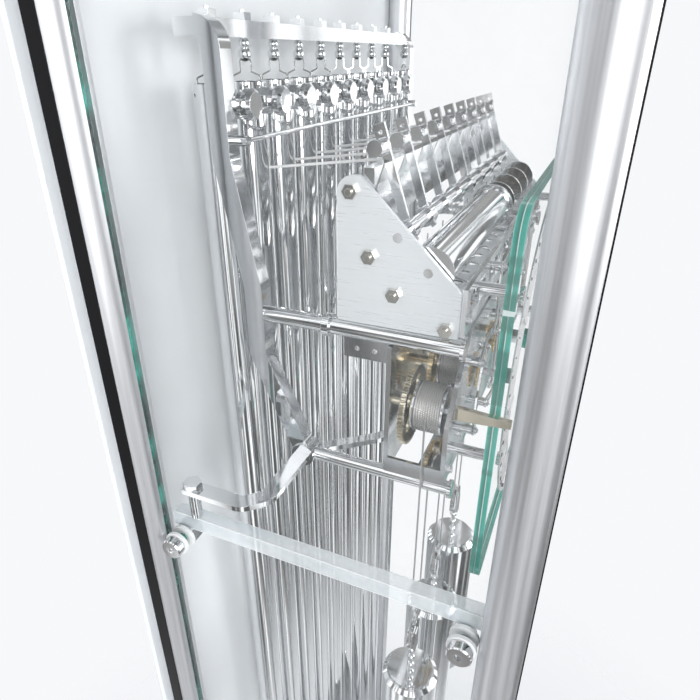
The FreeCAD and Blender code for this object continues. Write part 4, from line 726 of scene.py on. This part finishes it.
def build_minute_track(black):
    """Minute strokes on the chapter ring, all of one length, with every fifth one left out."""
    strokes = []
    for n in range(60):
        if n % 5 == 0:
            continue
        angle = 2 * math.pi * n / 60
        inner, outer, half = ring_middle + 0.0118, ring_middle + 0.0158, 0.0006
        across = (math.cos(angle) * half, -math.sin(angle) * half)
        along = (math.sin(angle), math.cos(angle))
        strokes.append([(along[0] * inner - across[0], centre_z + along[1] * inner - across[1]),
                        (along[0] * inner + across[0], centre_z + along[1] * inner + across[1]),
                        (along[0] * outer + across[0], centre_z + along[1] * outer + across[1]),
                        (along[0] * outer - across[0], centre_z + along[1] * outer - across[1])])
    flat_part("minute_track", strokes, ring_face, ring_face - 0.0007, "case", black)


def build_pieces():
    chrome = polished("small_part_chrome_look", chrome_colour, 0.04, 0.14, 40.0)
    gold = polished("ratchet_brass_look", gold_colour, 0.1, 0.24, 40.0)
    build_windings(cable_steel("winding_steel_look"))
    build_ratchets(gold, chrome)
    build_plate_levers(chrome)
    build_spring_row(chrome)
    build_drum_flange(chrome)
    build_cage_cover(chrome)
    build_links(chrome)
    build_minute_track(painted("minute_stroke_look", (0.02, 0.02, 0.022, 1.0), 0.3))


def build_camera():
    yaw = math.radians(camera_yaw)
    pitch = math.radians(camera_pitch)
    level = Vector((math.cos(yaw), math.sin(yaw), 0))
    forward = level * math.cos(pitch) - Vector((0, 0, math.sin(pitch)))
    right = Vector((math.sin(yaw), -math.cos(yaw), 0))
    up = right.cross(forward)
    turn = Matrix.Rotation(math.radians(camera_roll), 3, forward)
    basis = Matrix((turn @ right, turn @ up, -forward)).transposed()
    data = bpy.data.cameras.new("photo_camera")
    data.sensor_width = sensor_width
    data.lens = focal_pixels / frame_pixels * sensor_width
    data.clip_start = 0.01
    camera = bpy.data.objects.new("photo_camera", data)
    camera.matrix_world = Matrix.Translation(camera_place) @ basis.to_4x4()
    bpy.context.scene.collection.objects.link(camera)
    bpy.context.scene.camera = camera


def build_floor():
    """A pale round floor that fades out into the plain background."""
    sides = 64
    points = []
    for n in range(sides):
        angle = 2 * math.pi * n / sides
        points.append((floor_radius * math.cos(angle), floor_radius * math.sin(angle), 0))
    mesh = bpy.data.meshes.new("studio_floor")
    mesh.from_pydata(points, [], [tuple(range(sides))])
    floor = bpy.data.objects.new("studio_floor", mesh)
    bpy.context.scene.collection.objects.link(floor)
    shader = Shader("studio_floor_look")
    cloud = shader.noise(0.8, (1, 1, 1), 2.0)
    shader.join(shader.mix(shader.spread(cloud, 0.0, 1.0), (0.86, 0.87, 0.88, 1.0), (0.89, 0.9, 0.91, 1.0)),
                shader.bsdf.inputs["Base Color"])
    length = shader.add("ShaderNodeVectorMath", operation="LENGTH")
    shader.join(shader.place(), length.inputs[0])
    shader.join(shader.spread(length.outputs["Value"], 1.0, 0.0, floor_radius * 0.4, floor_radius * 0.98),
                shader.bsdf.inputs["Alpha"])
    shader.bsdf.inputs["Roughness"].default_value = 0.7
    mesh.materials.append(shader.material)


def build_world():
    """A show room that only polished surfaces see: tall bright lamps, warm grey walls and dark gaps.

    The camera and matt surfaces see it plain and pale.
    """
    world = bpy.data.worlds.new("studio_world")
    bpy.context.scene.world = world
    world.use_nodes = True
    tree = world.node_tree
    background = tree.nodes["Background"]
    coordinate = tree.nodes.new("ShaderNodeTexCoord")
    stretch = tree.nodes.new("ShaderNodeMapping")
    stretch.inputs["Scale"].default_value = (1.0, 1.0, 0.3)
    tree.links.new(coordinate.outputs["Generated"], stretch.inputs["Vector"])
    room = tree.nodes.new("ShaderNodeTexNoise")
    room.inputs["Scale"].default_value = 2.6
    room.inputs["Detail"].default_value = 2.0
    tree.links.new(stretch.outputs["Vector"], room.inputs["Vector"])
    ramp = tree.nodes.new("ShaderNodeValToRGB")
    elements = ramp.color_ramp.elements
    elements[0].position, elements[0].color = 0.37, (0.02, 0.021, 0.024, 1.0)
    elements[1].position, elements[1].color = 0.7, (0.3, 0.298, 0.295, 1.0)
    for position, colour in ((0.42, (0.22, 0.218, 0.215, 1.0)), (0.49, (0.38, 0.375, 0.37, 1.0)),
                             (0.515, (1.35, 1.37, 1.4, 1.0)), (0.57, (1.5, 1.52, 1.55, 1.0)),
                             (0.595, (0.5, 0.51, 0.53, 1.0)), (0.64, (0.12, 0.125, 0.135, 1.0))):
        elements.new(position).color = colour
    tree.links.new(room.outputs["Fac"], ramp.inputs["Fac"])
    path = tree.nodes.new("ShaderNodeLightPath")
    mix = tree.nodes.new("ShaderNodeMix")
    mix.data_type = "RGBA"
    tree.links.new(path.outputs["Is Glossy Ray"], mix.inputs[0])
    mix.inputs[6].default_value = (0.93, 0.94, 0.96, 1.0)
    tree.links.new(ramp.outputs["Color"], mix.inputs[7])
    tree.links.new(mix.outputs[2], background.inputs["Color"])
    background.inputs["Strength"].default_value = 1.0


def area_light(name, place, target, size, power, spread):
    data = bpy.data.lights.new(name, "AREA")
    data.shape = "RECTANGLE"
    data.size = size[0]
    data.size_y = size[1]
    data.energy = power
    data.spread = math.radians(spread)
    lamp = bpy.data.objects.new(name, data)
    lamp.location = place
    lamp.rotation_euler = (Vector(target) - Vector(place)).to_track_quat("-Z", "Y").to_euler()
    bpy.context.scene.collection.objects.link(lamp)


def build_lights():
    area_light("key_light", (-2.5, -1.5, 1.95), (0, 0.1, 1.45), (1.4, 1.6), 5.5, 55)
    area_light("front_light", (0.9, -2.7, 1.75), (0, 0.1, 1.4), (1.2, 1.6), 4, 55)
    area_light("top_light", (0.0, 0.0, 3.2), (0, 0, 1.0), (1.5, 1.5), 3, 180)


build_camera()
build_floor()
build_world()
build_lights()
dress_nodes()
build_pieces()
bpy.context.scene.view_settings.view_transform = "Standard"
